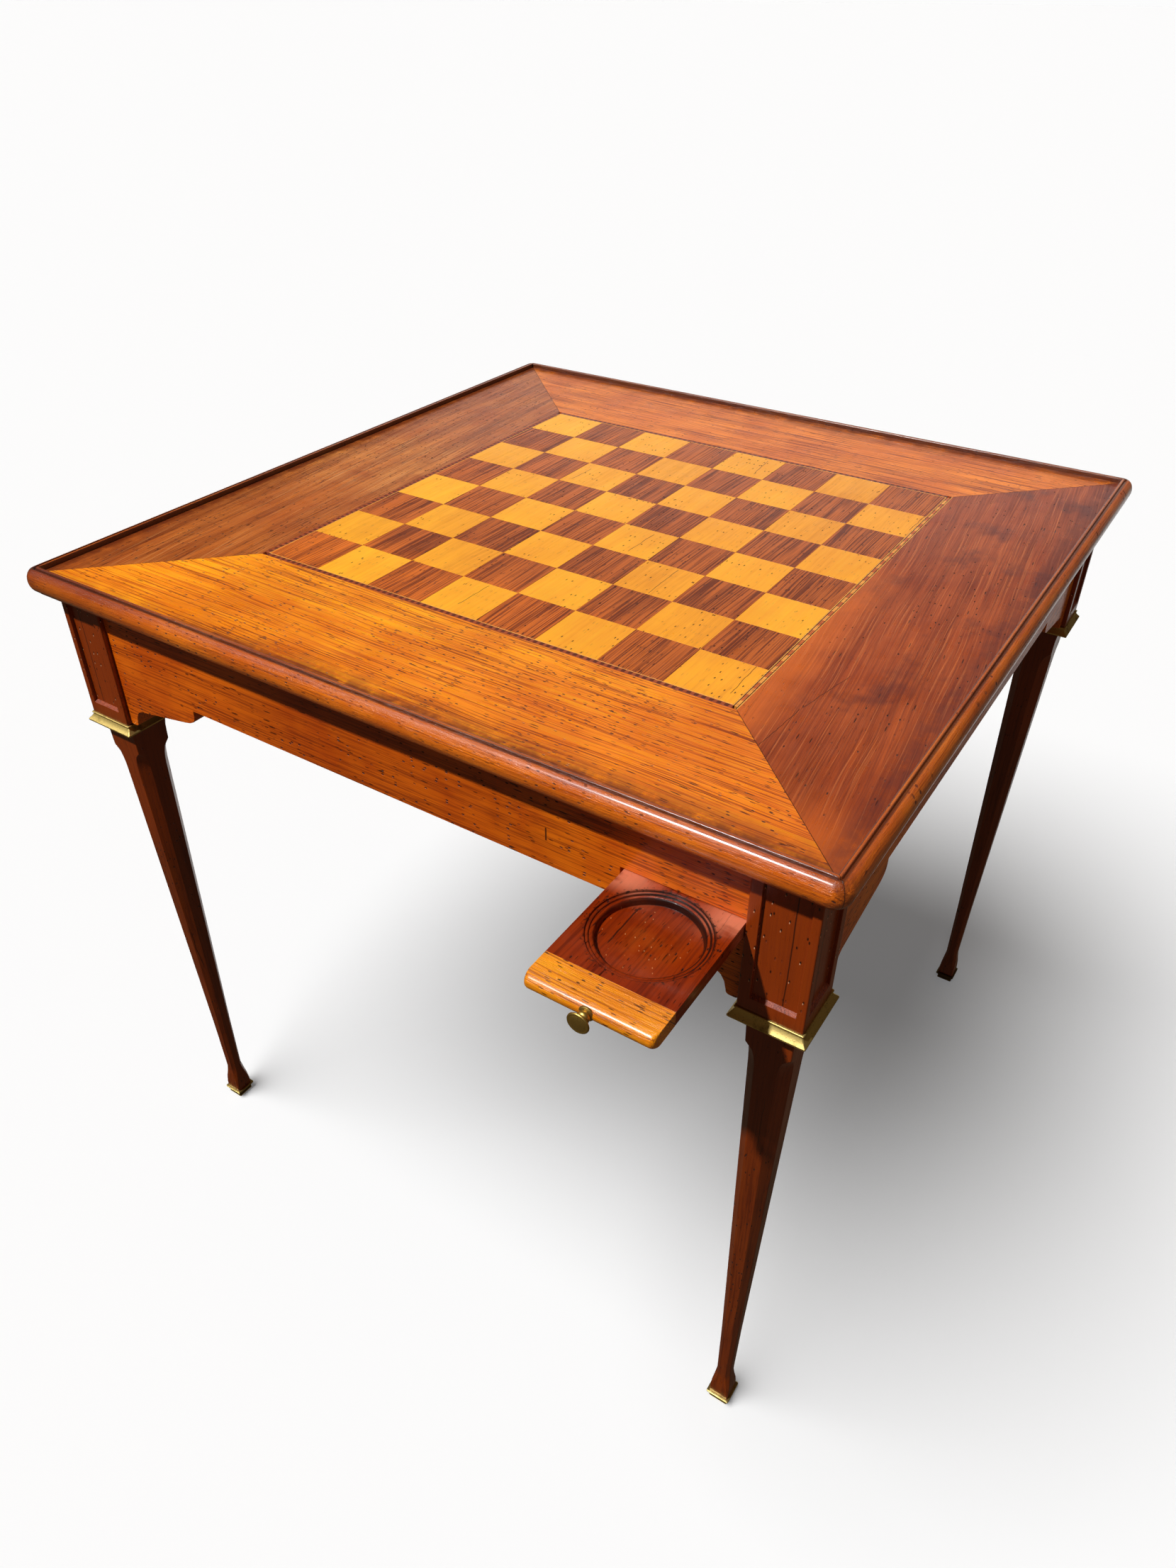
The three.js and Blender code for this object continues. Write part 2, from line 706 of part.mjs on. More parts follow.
// Points of one colour, held together by half the veneer's thickness under the lining and the bar
function pointVeneers(parity) {
  const sheetBottom = wellFloorTop + parity * pointThickness / 2;
  const sheetTop = sheetBottom + pointThickness / 2;
  const halfBar = barWidth / 2;
  const frame = block([-liningOuter, -liningOuter, sheetBottom], [liningOuter, liningOuter, sheetTop]);
  const fields = [[-liningInner, -halfBar], [halfBar, liningInner]].map(([fromX, toX]) => block(
    [fromX, -liningInner, sheetBottom - overrun],
    [toX, liningInner, sheetTop + overrun],
  ));
  const halfFoot = (pointWidth - pointGap) / 2;
  const points = [-1, 1].flatMap((end) => pointCentres().flatMap((centre, count) => {
    if ((count + (end > 0 ? 1 : 0)) % 2 !== parity) {
      return [];
    }
    const foot = end * (liningInner - pointFootInset);
    const root = end * (liningInner + liningThickness / 2);
    const edge = [[centre - halfFoot, foot], [centre, foot - end * pointLength], [centre + halfFoot, foot]];
    const tab = [[centre - halfFoot, root], ...edge, [centre + halfFoot, root]];
    return [
      slab(planShape(edge), wellFloorTop, wellFloorTop + pointThickness),
      slab(planShape(tab), sheetBottom, sheetTop),
    ];
  }));
  return joined(cutAway(frame, fields), points);
}

function cappingParts() {
  const boards = mitredBoards('capping', liningInner, cappingOuter, carcassTop, cappingTop, wellFinish);
  const drills = (end) => pointCentres().map((centre) => {
    const drill = rod(scoreHoleRadius, scoreHoleDepth + overrun, scoreHoleSideCount);
    drill.translate(centre, end * (liningInner + scoreHoleInset), cappingTop - scoreHoleDepth);
    return drill;
  });
  for (const board of boards) {
    if (board.name === 'capping_front') {
      board.geometry = cutAway(board.geometry, drills(-1));
    }
    if (board.name === 'capping_back') {
      board.geometry = cutAway(board.geometry, drills(1));
    }
  }
  return boards;
}

function wellParts() {
  const divider = (fromX, toX, bottom, height) => block(
    [fromX, -liningInner, bottom],
    [toX, liningInner, bottom + height],
  );
  const veneerTop = wellFloorTop + pointThickness;
  const partitionOuter = partitionInner + partitionThickness;
  const leftPartition = divider(-partitionOuter, -partitionInner, wellFloorTop, partitionHeight);
  const rightPartition = divider(partitionInner, partitionOuter, wellFloorTop, partitionHeight);
  const halfBar = barWidth / 2;
  return [
    named('well_floor', wellFloorGeometry(), hiddenFinish),
    ...mitredBoards('lining', liningInner, liningOuter, veneerTop, carcassTop, wellFinish),
    ...cappingParts(),
    named('partition_left', leftPartition, wellFinish),
    named('partition_right', rightPartition, wellFinish),
    named('bar', divider(-halfBar, halfBar, veneerTop, barHeight), wellFinish),
    named('light_points', pointVeneers(0), lightPointFinish),
    named('dark_points', pointVeneers(1), darkPointFinish),
  ];
}

// Slides, drawn at the front and turned half round for the back

function slideBodyGeometry() {
  const board = block([slideLeft, clampBack, slideBottom], [slideRight, slideTailEnd, slideTop]);
  const tongue = block(
    [slideLeft + tongueInset, clampBack - tongueLength, slideMiddle - tongueThickness / 2],
    [slideRight - tongueInset, clampBack + overrun, slideMiddle + tongueThickness / 2],
  );
  const ringInner = dishRadius - dishRingWidth;
  const dish = turnedPiece([
    [0, overrun],
    [dishRadius, overrun],
    [dishRadius, -dishLedge],
    [ringInner, -dishLedge],
    [ringInner - dishWall, -dishDepth],
    [(ringInner - dishWall) / 2, -dishDepth + dishCrown * dishCrownShare],
    [0, -dishDepth + dishCrown],
  ], dishSideCount);
  dish.translate(slideCentre, -apronFace - dishSetback, slideTop);
  const pegHole = rod(pegRadius + fit, pegSeat + fit + overrun);
  pegHole.translate(slideCentre, pegPlace(), slideBottom - overrun);
  return cutAway(joined(board, [tongue]), [dish, pegHole]);
}

// The stop peg stands behind the apron, its travel away from it
function pegPlace() {
  return -apronInner + slideOutTravel + slideRunningGap + pegRadius;
}

function clampGeometry() {
  const nose = slideThickness / 2;
  const profile = new THREE.Shape();
  profile.moveTo(clampBack, slideBottom);
  profile.lineTo(clampBack, slideTop);
  profile.lineTo(slideFront + nose, slideTop);
  profile.absarc(slideFront + nose, slideMiddle, nose, quarterTurn, 3 * quarterTurn, false);
  const bar = lengthwise(profile, slideLeft, slideRight);
  const plan = new THREE.Shape();
  plan.moveTo(slideLeft, clampBack + overrun);
  plan.lineTo(slideLeft, slideFront + clampCornerRadius);
  const arcY = slideFront + clampCornerRadius;
  const radius = clampCornerRadius;
  plan.absarc(slideLeft + radius, arcY, radius, 2 * quarterTurn, 3 * quarterTurn, false);
  plan.absarc(slideRight - radius, arcY, radius, -quarterTurn, 0, false);
  plan.lineTo(slideRight, clampBack + overrun);
  const rounded = common(bar, slab(plan, slideBottom - overrun, slideTop + overrun));
  const grooveInset = tongueInset - fit;
  const grooveHalf = tongueThickness / 2 + fit;
  const groove = block(
    [slideLeft + grooveInset, clampBack - tongueLength - fit, slideMiddle - grooveHalf],
    [slideRight - grooveInset, clampBack + overrun, slideMiddle + grooveHalf],
  );
  const boreLength = overrun + knobSeat + knobShankLength + fit;
  const bore = alongSlide(rod(knobShankRadius + fit, boreLength), slideFront - overrun, -1);
  const seat = alongSlide(rod(knobRoseRadius + fit, overrun + knobSeat), slideFront - overrun, -1);
  return cutAway(rounded, [groove, bore, seat]);
}

// Lays a turned piece along the slide's middle line: direction 1 points out of the table, -1 into it
function alongSlide(geometry, place, direction) {
  const laid = geometry.clone();
  laid.rotateX(direction * quarterTurn);
  laid.translate(slideCentre, place, slideMiddle);
  return laid;
}

function knobGeometry() {
  const ballMiddle = knobRoseThickness + knobBallLength / 2;
  const ball = Array.from({ length: arcStepCount + 1 }, (_, step) => {
    const angle = -quarterTurn + step / arcStepCount * 2 * quarterTurn;
    return [
      knobNeckRadius + (knobBallRadius - knobNeckRadius) * Math.cos(angle),
      ballMiddle + knobBallLength / 2 * Math.sin(angle),
    ];
  });
  const bevel = knobHeadThickness * knobBevelShare;
  const headEnd = knobHeadStart + knobHeadThickness;
  return alongSlide(turnedPiece([
    [0, -knobShankLength],
    [knobShankRadius, -knobShankLength],
    [knobShankRadius, 0],
    [knobRoseRadius, 0],
    [knobRoseRadius, knobRoseThickness / 2],
    ...ball,
    [knobNeckRadius, knobHeadStart - bevel],
    [knobHeadRadius - bevel, knobHeadStart],
    [knobHeadRadius, knobHeadStart + bevel],
    [knobHeadRadius, headEnd - 2 * bevel],
    [knobHeadRadius / 2, headEnd - bevel / 2],
    [0, headEnd],
  ], roundSideCount), slideFront + knobSeat, 1);
}

function pegGeometry() {
  const peg = rod(pegRadius, pegDrop + pegSeat);
  peg.translate(slideCentre, pegPlace(), slideBottom - pegDrop);
  return peg;
}

function slideParts(side) {
  return [
    named(`${side}_slide_body`, slideBodyGeometry(), slideFinish),
    named(`${side}_slide_clamp`, clampGeometry(), clampFinish),
    named(`${side}_slide_knob`, knobGeometry(), agedBrassFinish),
    named(`${side}_slide_stop_peg`, pegGeometry(), hiddenFinish),
  ];
}

// Rebated runners under the well floor, one each side of the slide, each with a toe that stops the tail
function runnerParts(side) {
  const lipBottom = slotBottom - runnerLipThickness;
  const toeFace = slideTailEnd + slideInTravel + slideRunningGap;
  const farEnd = toeFace + runnerToeThickness;
  const runner = (webFace, away, nearEnd) => {
    const back = webFace + away * runnerWeb;
    const strip = (reach, nearY, bottom, top) => {
      const [low, high] = [webFace - away * reach, back].sort((first, second) => first - second);
      return block([low, nearY, bottom], [high, farEnd, top]);
    };
    return joined(strip(0, nearEnd, lipBottom, slotTop), [
      strip(runnerLip, nearEnd, lipBottom, slotBottom),
      strip(runnerToeReach, toeFace, lipBottom, slotTop),
    ]);
  };
  return [
    named(`${side}_runner_outer`, runner(slideRight + slideSideGap, 1, -postInner + fit), hiddenFinish),
    named(`${side}_runner_inner`, runner(slideLeft - slideSideGap, -1, -apronInner + fit), hiddenFinish),
  ];
}

function slideGroup(side, halfTurns) {
  const group = new THREE.Group();
  group.rotation.z = halfTurns * 2 * quarterTurn;
  group.add(...slideParts(side), ...runnerParts(side));
  return group;
}

const table = new THREE.Group();
table.add(
  ...topParts(),
  ...around(corners, 'leg', legFinish, legGeometry),
  ...around(corners, 'collar', brassFinish, collarGeometry),
  ...around(corners, 'sabot', brassFinish, sabotGeometry),
  ...around(sides, 'apron', apronFinish, apronGeometry),
  ...wellParts(),
  slideGroup('front', 0),
  slideGroup('back', 1),
);

export default table;
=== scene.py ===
import json
import math

import bmesh
import bpy
from bpy.props import FloatProperty, FloatVectorProperty, IntProperty, PointerProperty
from mathutils import Matrix, Vector


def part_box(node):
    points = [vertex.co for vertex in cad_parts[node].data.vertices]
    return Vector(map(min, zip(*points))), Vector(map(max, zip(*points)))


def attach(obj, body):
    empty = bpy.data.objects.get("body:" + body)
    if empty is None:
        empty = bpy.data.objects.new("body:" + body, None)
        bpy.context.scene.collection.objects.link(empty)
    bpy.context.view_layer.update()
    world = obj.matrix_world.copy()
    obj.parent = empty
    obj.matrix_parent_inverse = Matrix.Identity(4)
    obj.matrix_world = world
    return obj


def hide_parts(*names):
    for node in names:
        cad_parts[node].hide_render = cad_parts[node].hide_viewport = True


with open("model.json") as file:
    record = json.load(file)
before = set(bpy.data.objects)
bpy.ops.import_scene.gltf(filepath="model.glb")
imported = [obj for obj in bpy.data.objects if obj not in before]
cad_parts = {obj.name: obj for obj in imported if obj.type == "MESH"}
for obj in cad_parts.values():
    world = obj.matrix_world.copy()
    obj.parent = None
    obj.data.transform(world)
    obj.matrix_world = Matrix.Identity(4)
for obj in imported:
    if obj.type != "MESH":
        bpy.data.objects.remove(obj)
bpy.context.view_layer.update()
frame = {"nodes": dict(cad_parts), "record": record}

bl_info = {
    "name": "Tric trac table",
    "version": (1, 0, 0),
    "blender": (4, 5, 0),
    "location": "3D View > Sidebar > Games table",
    "description": "Games table with a chessboard top, a tric trac well, candle slides and tapered legs",
    "category": "Add Mesh",
}

MM = 0.001
QUARTER = math.pi / 2
WELD = 1e-7
NODE_WELD = 4e-6
FLAT_ANGLE = 0.4
FILM_WIDTH = 36
VIEW_START, VIEW_END = 0.01, 500
SIDES = ("front", "right", "back", "left")
CORNERS = ("front_right", "back_right", "back_left", "front_left")
GRAIN_OF_SIDE = {"front": "x", "right": "y", "back": "x", "left": "y"}
SLOT_OF_NODE = {entry["node"]: entry["material_slot"] for entry in frame["record"]["subparts"]}


def low(node):
    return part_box(node)[0]


def high(node):
    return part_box(node)[1]


BOARD_TOP = high("dark_squares").z
BOARD_HALF = high("dark_squares").x
VENEER = high("stringing").z - low("stringing").z
STRINGING_OUTER = high("stringing").x
RIM_REACH = high("rim_right").x
RIM_INNER = high("top_core").x
RIM_TOP = high("rim_front").z
RIM_BOTTOM = low("rim_front").z
WELL_FLOOR_TOP = high("well_floor").z
LINING_INNER = -high("lining_front").y
BAR_HALF = high("bar").x
PARTITION_INNER = low("partition_right").x
POINT_TOP = high("light_points").z
SLIDE_LEFT, SLIDE_RIGHT = low("front_slide_clamp").x, high("front_slide_body").x
SLIDE_BOTTOM, SLIDE_TOP = low("front_slide_body").z, high("front_slide_body").z
SLIDE_BACK = high("front_slide_body").y
CLAMP_FRONT, CLAMP_BACK = low("front_slide_clamp").y, high("front_slide_clamp").y
SLIDE_CENTRE = (SLIDE_LEFT + SLIDE_RIGHT) / 2
SLIDE_MIDDLE = (SLIDE_TOP + SLIDE_BOTTOM) / 2
KNOB_FRONT = low("front_slide_knob").y
KNOB_RADIUS = (high("front_slide_knob").x - low("front_slide_knob").x) / 2
POST_INNER, POST_OUTER = low("leg_front_right").x, high("leg_front_right").x
COLLAR_LOW, COLLAR_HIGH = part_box("collar_front_right")
SABOT_LOW, SABOT_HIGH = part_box("sabot_front_right")


def tint(red, green, blue):
    """Linear colour from the red, green and blue of a paint chart, 0 to 255."""
    def linear(part):
        share = part / 255
        return share / 12.92 if share <= 0.04045 else ((share + 0.055) / 1.055) ** 2.4
    return tuple(linear(part) for part in (red, green, blue))


def colour(name, description, default):
    return FloatVectorProperty(
        name=name, description=description, subtype="COLOR", size=3, min=0, max=1, default=tint(*default)
    )


def length(name, description, default):
    return FloatProperty(name=name, description=description, default=default * MM, min=0, unit="LENGTH")


def quantity(name, description, default, least=0.0):
    return FloatProperty(name=name, description=description, default=default, min=least)


def whole_number(name, description, default, least):
    return IntProperty(name=name, description=description, default=default, min=least)


def spread(name, description, degrees):
    return FloatProperty(name=name, description=description, subtype="ANGLE", default=math.radians(degrees))


def direction(name, description, default):
    return FloatVectorProperty(name=name, description=description, subtype="XYZ", default=default)


# Settings


class TopSettings(bpy.types.PropertyGroup):
    square_count: whole_number("Squares", "Chess squares along one side", 8, 2)
    square_joint: length("Square joint", "Glue line between two squares", 0.12)
    ease: length("Eased edge", "Bevel on the edges of the veneers", 0.12)
    block_count: whole_number("Blocks", "Blocks of the pale stringing", 48, 8)
    chip_count: whole_number("Chips", "Chips of the dark stringing", 150, 8)
    line_width: length("Line width", "Width of the dark lines beside the blocks", 0.7)
    cream_width: length("Cream width", "Width of the cream lines", 0.8)
    fillet_width: length("Fillet width", "Flat fillet at the rim's inner edge", 3.2)
    fillet_ease: length("Fillet ease", "Rounding of the fillet's upper edges", 0.7)
    quirk_width: length("Quirk width", "Groove between the fillet and the nose", 2.2)
    quirk_depth: length("Quirk depth", "Depth of that groove", 2)
    quirk_slope: length("Quirk slope", "Run of the groove's sloping sides", 0.5)
    nose_drop: length("Nose drop", "Top of the fillet to the top of the nose", 0.5)
    lower_fillet: length("Lower fillet", "Square fillet under the nose", 2.5)
    nose_steps: whole_number("Nose steps", "Faces round the rim's nose", 20, 6)
    light_square: colour("Light square", "Satinwood of the light squares", (255, 167, 26))
    dark_square: colour("Dark square", "Rosewood of the dark squares", (162, 76, 20))
    front_board: colour("Front board", "Golden cherry of the front board", (255, 137, 12))
    right_board: colour("Right board", "Reddish cherry of the right board", (158, 68, 26))
    back_board: colour("Back board", "Cherry of the back board", (236, 124, 20))
    left_board: colour("Left board", "Brown cherry of the left board", (180, 94, 34))
    rim: colour("Rim", "Polished wood of the rim", (242, 122, 20))


class CarcassSettings(bpy.types.PropertyGroup):
    ease: length("Eased edge", "Bevel on the edges of the timber", 0.5)
    brass_corner: length("Brass corner", "Cut corners of the collars and shoes", 0.8)
    collar_ease: length("Collar edge", "Bevel on the edges of the collars", 0.25)
    shoe_ease: length("Shoe edge", "Bevel on the edges of the shoes", 0.08)
    inner_stile: length("Inner stile", "Post's inner edge to its sunk panel", 9.5)
    outer_stile: length("Outer stile", "Post's outer corner to its sunk panel", 7)
    bottom_rail: length("Bottom rail", "Collar to the foot of a sunk panel", 12.8)
    apron: colour("Apron", "Cherry of the aprons", (236, 108, 10))
    panel_depth: length("Panel depth", "Depth of the posts' sunk panels", 3)
    sill_rise: length("Sill rise", "Rise of the sloping ledge under a panel", 2.4)
    leg: colour("Leg", "Darker cherry of the legs", (122, 48, 8))
    post: colour("Post", "Redder cherry of the posts", (168, 64, 8))
    cloth_ease: length("Cloth edge", "Bevel on the baize panel and the well's floor", 0.3)
    lining_ease: length("Lining edge", "Bevel on the lining, the capping and the pegs", 0.4)
    divider_ease: length("Divider edge", "Bevel on the partitions and the bar", 0.8)
    point_ease: length("Point edge", "Bevel on the points", 0.15)
    point_count: whole_number("Points", "Points in each quarter of the well", 6, 1)
    point_length: length("Point length", "Foot to tip of a point", 225)
    point_gap: length("Point gap", "Bare floor between the feet of two points", 1.2)
    point_inset: length("Point inset", "Lining to the foot of a point", 0.5)
    well: colour("Well", "Walnut inside the well", (120, 72, 38))
    light_point: colour("Light point", "Boxwood points", (224, 178, 108))
    dark_point: colour("Dark point", "Stained points", (48, 30, 22))
    oak: colour("Hidden wood", "Plain oak of the hidden pieces", (172, 134, 88))
    brass: colour("Brass", "Brass of the collars and shoes", (236, 210, 130))


class SlideSettings(bpy.types.PropertyGroup):
    ease: length("Eased edge", "Bevel on the edges of the slide", 0.5)
    dish_radius: length("Dish radius", "Radius of the dish for the candlestick", 44)
    dish_setback: length("Dish place", "Clamp's back to the middle of the dish", 51)
    ring_width: length("Ring width", "Width of each step round the dish", 2.75)
    ring_depth: length("Ring depth", "Depth of the steps' lowest ledge", 2.4)
    wall_run: length("Wall run", "Run of the dish's sloping wall", 1.6)
    dish_depth: length("Dish depth", "Depth at the foot of the wall", 7.6)
    dish_crown: length("Dish crown", "Rise of the floor in the middle", 1.2)
    dish_steps: whole_number("Dish steps", "Faces round the dish, a multiple of 8", 96, 8)
    corner_radius: length("Corner radius", "Rounded corners of the clamp in plan", 4)
    knob_seat: length("Knob seat", "Depth of the knob's seat in the nose", 1.6)
    rose_radius: length("Rose radius", "Radius of the knob's rose", 5.8)
    neck_radius: length("Neck radius", "Radius of the knob's neck", 2.9)
    ball_radius: length("Ball radius", "Radius of the ring on the knob's neck", 4.7)
    shank_radius: length("Shank radius", "Radius of the knob's shank in the clamp", 2)
    shank_length: length("Shank length", "Length of the knob's shank", 11)
    head_thickness: length("Head thickness", "Thickness of the knob's head", 3.4)
    wood: colour("Slide", "Reddish wood of the slide", (142, 46, 4))
    clamp: colour("Clamp", "Golden wood of the clamp", (255, 150, 12))
    knob: colour("Knob", "Aged brass of the knob", (214, 180, 96))


class StageSettings(bpy.types.PropertyGroup):
    lens: quantity("Lens", "Focal length in millimetres", 25.68, least=1)
    camera: direction("Camera", "Place of the camera", (0.5402, -0.9046, 1.1888))
    aim: direction("Aim", "Direction of the view", (-0.43764, 0.67859, -0.58990))
    roll: spread("Roll", "Turn about the view", 0.32)
    key_strength: quantity("Key light", "Strength of the key light", 3.5)
    key_softness: spread("Key softness", "Angle that the key light fills", 2)
    key_path: direction("Key path", "Direction of the key light", (0.59, 1.0, -1.64))
    fill: quantity("Fill light", "Strength of the light all round", 0.06)
    fill_colour: colour("Fill colour", "Warm light all round", (255, 220, 180))
    back_strength: quantity("Back light", "Strength of the light behind", 0.8)
    back_softness: spread("Back softness", "Angle that the light behind fills", 70)
    back_path: direction("Back path", "Direction of the back light", (0.15, -1.0, -0.7))
    side_strength: quantity("Side light", "Strength of the light on the right", 0.2)
    side_path: direction("Side path", "Direction of the side light", (-1.0, 0.1, -0.5))
    sheen_strength: quantity("Sheen", "Strength of the low sheen behind", 0.57)
    sheen_path: direction("Sheen path", "Direction of the low sheen", (0.37, -0.91, 0.19))
    floor_strength: quantity("Floor light", "Strength of the light on the floor", 3.54)
    floor_softness: spread("Floor softness", "Angle that the floor's light fills", 40)
    floor_path: direction("Floor path", "Direction of the floor's light", (0.255, 0.442, -1.0))
    floor_reach: length("Floor reach", "Radius of the floor", 60000)
    floor: colour("Floor", "Pale floor", (232, 232, 232))
    floor_glow: quantity("Floor glow", "Light of the floor itself", 0.135)
    floor_tint: colour("Floor tint", "Colour of the floor's own light", (241, 248, 255))
    backdrop: quantity("Backdrop", "Brightness of the backdrop", 0.975)
    backdrop_share: quantity("Backdrop share", "Radius of the backdrop as a share of the floor's", 0.98)


# Node trees and expressions


class Value:
    """A number, vector or colour in a node tree, used in expressions."""

    def __init__(self, tree, socket):
        self.tree = tree
        self.socket = socket

    def math(self, operation, *others, first=None):
        values = [self, *others] if first is None else [first, self, *others]
        return self.tree.node("ShaderNodeMath", {"operation": operation}, dict(enumerate(values)))

    def __add__(self, other):
        return self.math("ADD", other)

    __radd__ = __add__

    def __sub__(self, other):
        return self.math("SUBTRACT", other)

    def __rsub__(self, other):
        return self.math("SUBTRACT", first=other)

    def __mul__(self, other):
        return self.math("MULTIPLY", other)

    __rmul__ = __mul__

    def __truediv__(self, other):
        return self.math("DIVIDE", other)

    def __rtruediv__(self, other):
        return self.math("DIVIDE", first=other)

    def __abs__(self):
        return self.math("ABSOLUTE")

    def floor(self):
        return self.math("FLOOR")

    def sign(self):
        return self.math("SIGN")

    def root(self):
        return self.math("SQRT")

    def larger(self, other):
        return self.math("MAXIMUM", other)

    def smaller(self, other):
        return self.math("MINIMUM", other)

    def between(self, start, end):
        """0 where the value is at start, 1 where it is at end, smooth between them."""
        sockets = {"Value": self, "From Min": start, "From Max": end}
        return self.tree.node("ShaderNodeMapRange", {"interpolation_type": "SMOOTHSTEP"}, sockets)


class Tree:
    """A node tree and the one call that adds a node to it."""

    def __init__(self, tree):
        self.tree = tree

    def node(self, kind, settings=None, sockets=None, output=0):
        """Sets what the node is first, then the values or links of its sockets."""
        made = self.tree.nodes.new(kind)
        for key, value in (settings or {}).items():
            if key == "stops":
                self._set_stops(made.color_ramp, value)
            else:
                setattr(made, key, value)
        for key, value in (sockets or {}).items():
            if isinstance(value, Value):
                self.tree.links.new(value.socket, made.inputs[key])
            else:
                made.inputs[key].default_value = value
        return Value(self, made.outputs[output]) if made.outputs else None

    @staticmethod
    def _set_stops(ramp, stops):
        while len(ramp.elements) < len(stops):
            ramp.elements.new(0.5)
        for element, (place, shade) in zip(ramp.elements, stops):
            element.position = place
            element.color = (*shade, 1)

    def vector(self, x, y=0.0, z=0.0):
        return self.node("ShaderNodeCombineXYZ", sockets={0: x, 1: y, 2: z})


class Finish(Tree):
    """A material and the few calls that build its tree."""

    def __init__(self, name):
        self.material = bpy.data.materials.new(name)
        self.material.use_nodes = True
        super().__init__(self.material.node_tree)
        self.tree.nodes.clear()

    def place(self):
        """Object coordinates in millimetres as three numbers."""
        coordinates = self.node("ShaderNodeTexCoord", output=3)
        split = self.node("ShaderNodeSeparateXYZ", sockets={0: coordinates})
        outputs = split.socket.node.outputs
        return [Value(self, outputs[axis]) / MM for axis in range(3)]

    def noise(self, x, y, z, detail=2.0, roughness=0.5):
        sockets = {"Vector": self.vector(x, y, z), "Scale": 1.0, "Detail": detail, "Roughness": roughness}
        return self.node("ShaderNodeTexNoise", sockets=sockets)

    def cloud(self, place, fineness, detail=2.0, roughness=0.5):
        """Noise of the same fineness in all directions."""
        return self.noise(*(part * fineness for part in place), detail, roughness)

    def chance(self, x, y, z=0.0):
        """A random number from 0 to 1 for each whole place."""
        return self.node("ShaderNodeTexWhiteNoise", sockets={"Vector": self.vector(x, y, z)})

    def spots(self, along, across, pitch, radius, share):
        """1 inside small round marks, one in each cell of a given pitch and only in a share of the cells."""
        sockets = {"Vector": self.vector(along / pitch, across / pitch), "Scale": 1.0}
        cells = self.node("ShaderNodeTexVoronoi", {"voronoi_dimensions": "2D"}, sockets)
        shade = Value(self, cells.socket.node.outputs["Color"])
        luck = self.node("ShaderNodeSeparateXYZ", sockets={0: shade})
        return cells.between(radius / pitch, radius * 0.55 / pitch) * luck.between(share + 0.01, share)

    def splits(self, along, across, share, reach=90.0, spacing=26.0, width=0.3):
        """Short drying cracks along the grain, tapered at both ends."""
        row = (across / spacing).floor()
        shifted = along / reach + self.chance(row, 7.0) * 5
        column = shifted.floor()
        luck = self.chance(row, column, 3.0)
        wander = (self.noise(along * 0.04, row, 0.0) - 0.5) * 5
        middle = abs(across - (row + 0.5) * spacing + (luck / share - 0.5) * spacing * 0.6 + wander)
        taper = abs(shifted - column - 0.5).between(0.48, 0.2) * width
        return (taper - middle).between(0.0, 0.12) * luck.between(share + 0.001, share)

    def mix(self, share, first, second, blend="MIX"):
        settings = {"data_type": "RGBA", "blend_type": blend}
        sockets = {0: share, 6: self._shade(first), 7: self._shade(second)}
        return self.node("ShaderNodeMix", settings, sockets, output=2)

    @staticmethod
    def _shade(value):
        return value if isinstance(value, Value) else (*value, 1)

    def surface(self, kind, sockets):
        """Ends the tree with a shader."""
        self.node("ShaderNodeOutputMaterial", sockets={0: self.node(kind, sockets=sockets)})
        return self.material

    def finished(self, base, roughness, height, depth, metallic=0.0, coat=0.0, coat_roughness=0.1, shine=0.5):
        bump = self.node("ShaderNodeBump", sockets={"Strength": 1.0, "Distance": depth, "Height": height})
        return self.surface("ShaderNodeBsdfPrincipled", {
            "Base Color": base, "Roughness": roughness, "Metallic": metallic, "Coat Weight": coat,
            "Coat Roughness": coat_roughness, "Specular IOR Level": shine, "Normal": bump,
        })


def darker(shade, share):
    return tuple(part * share for part in shade)


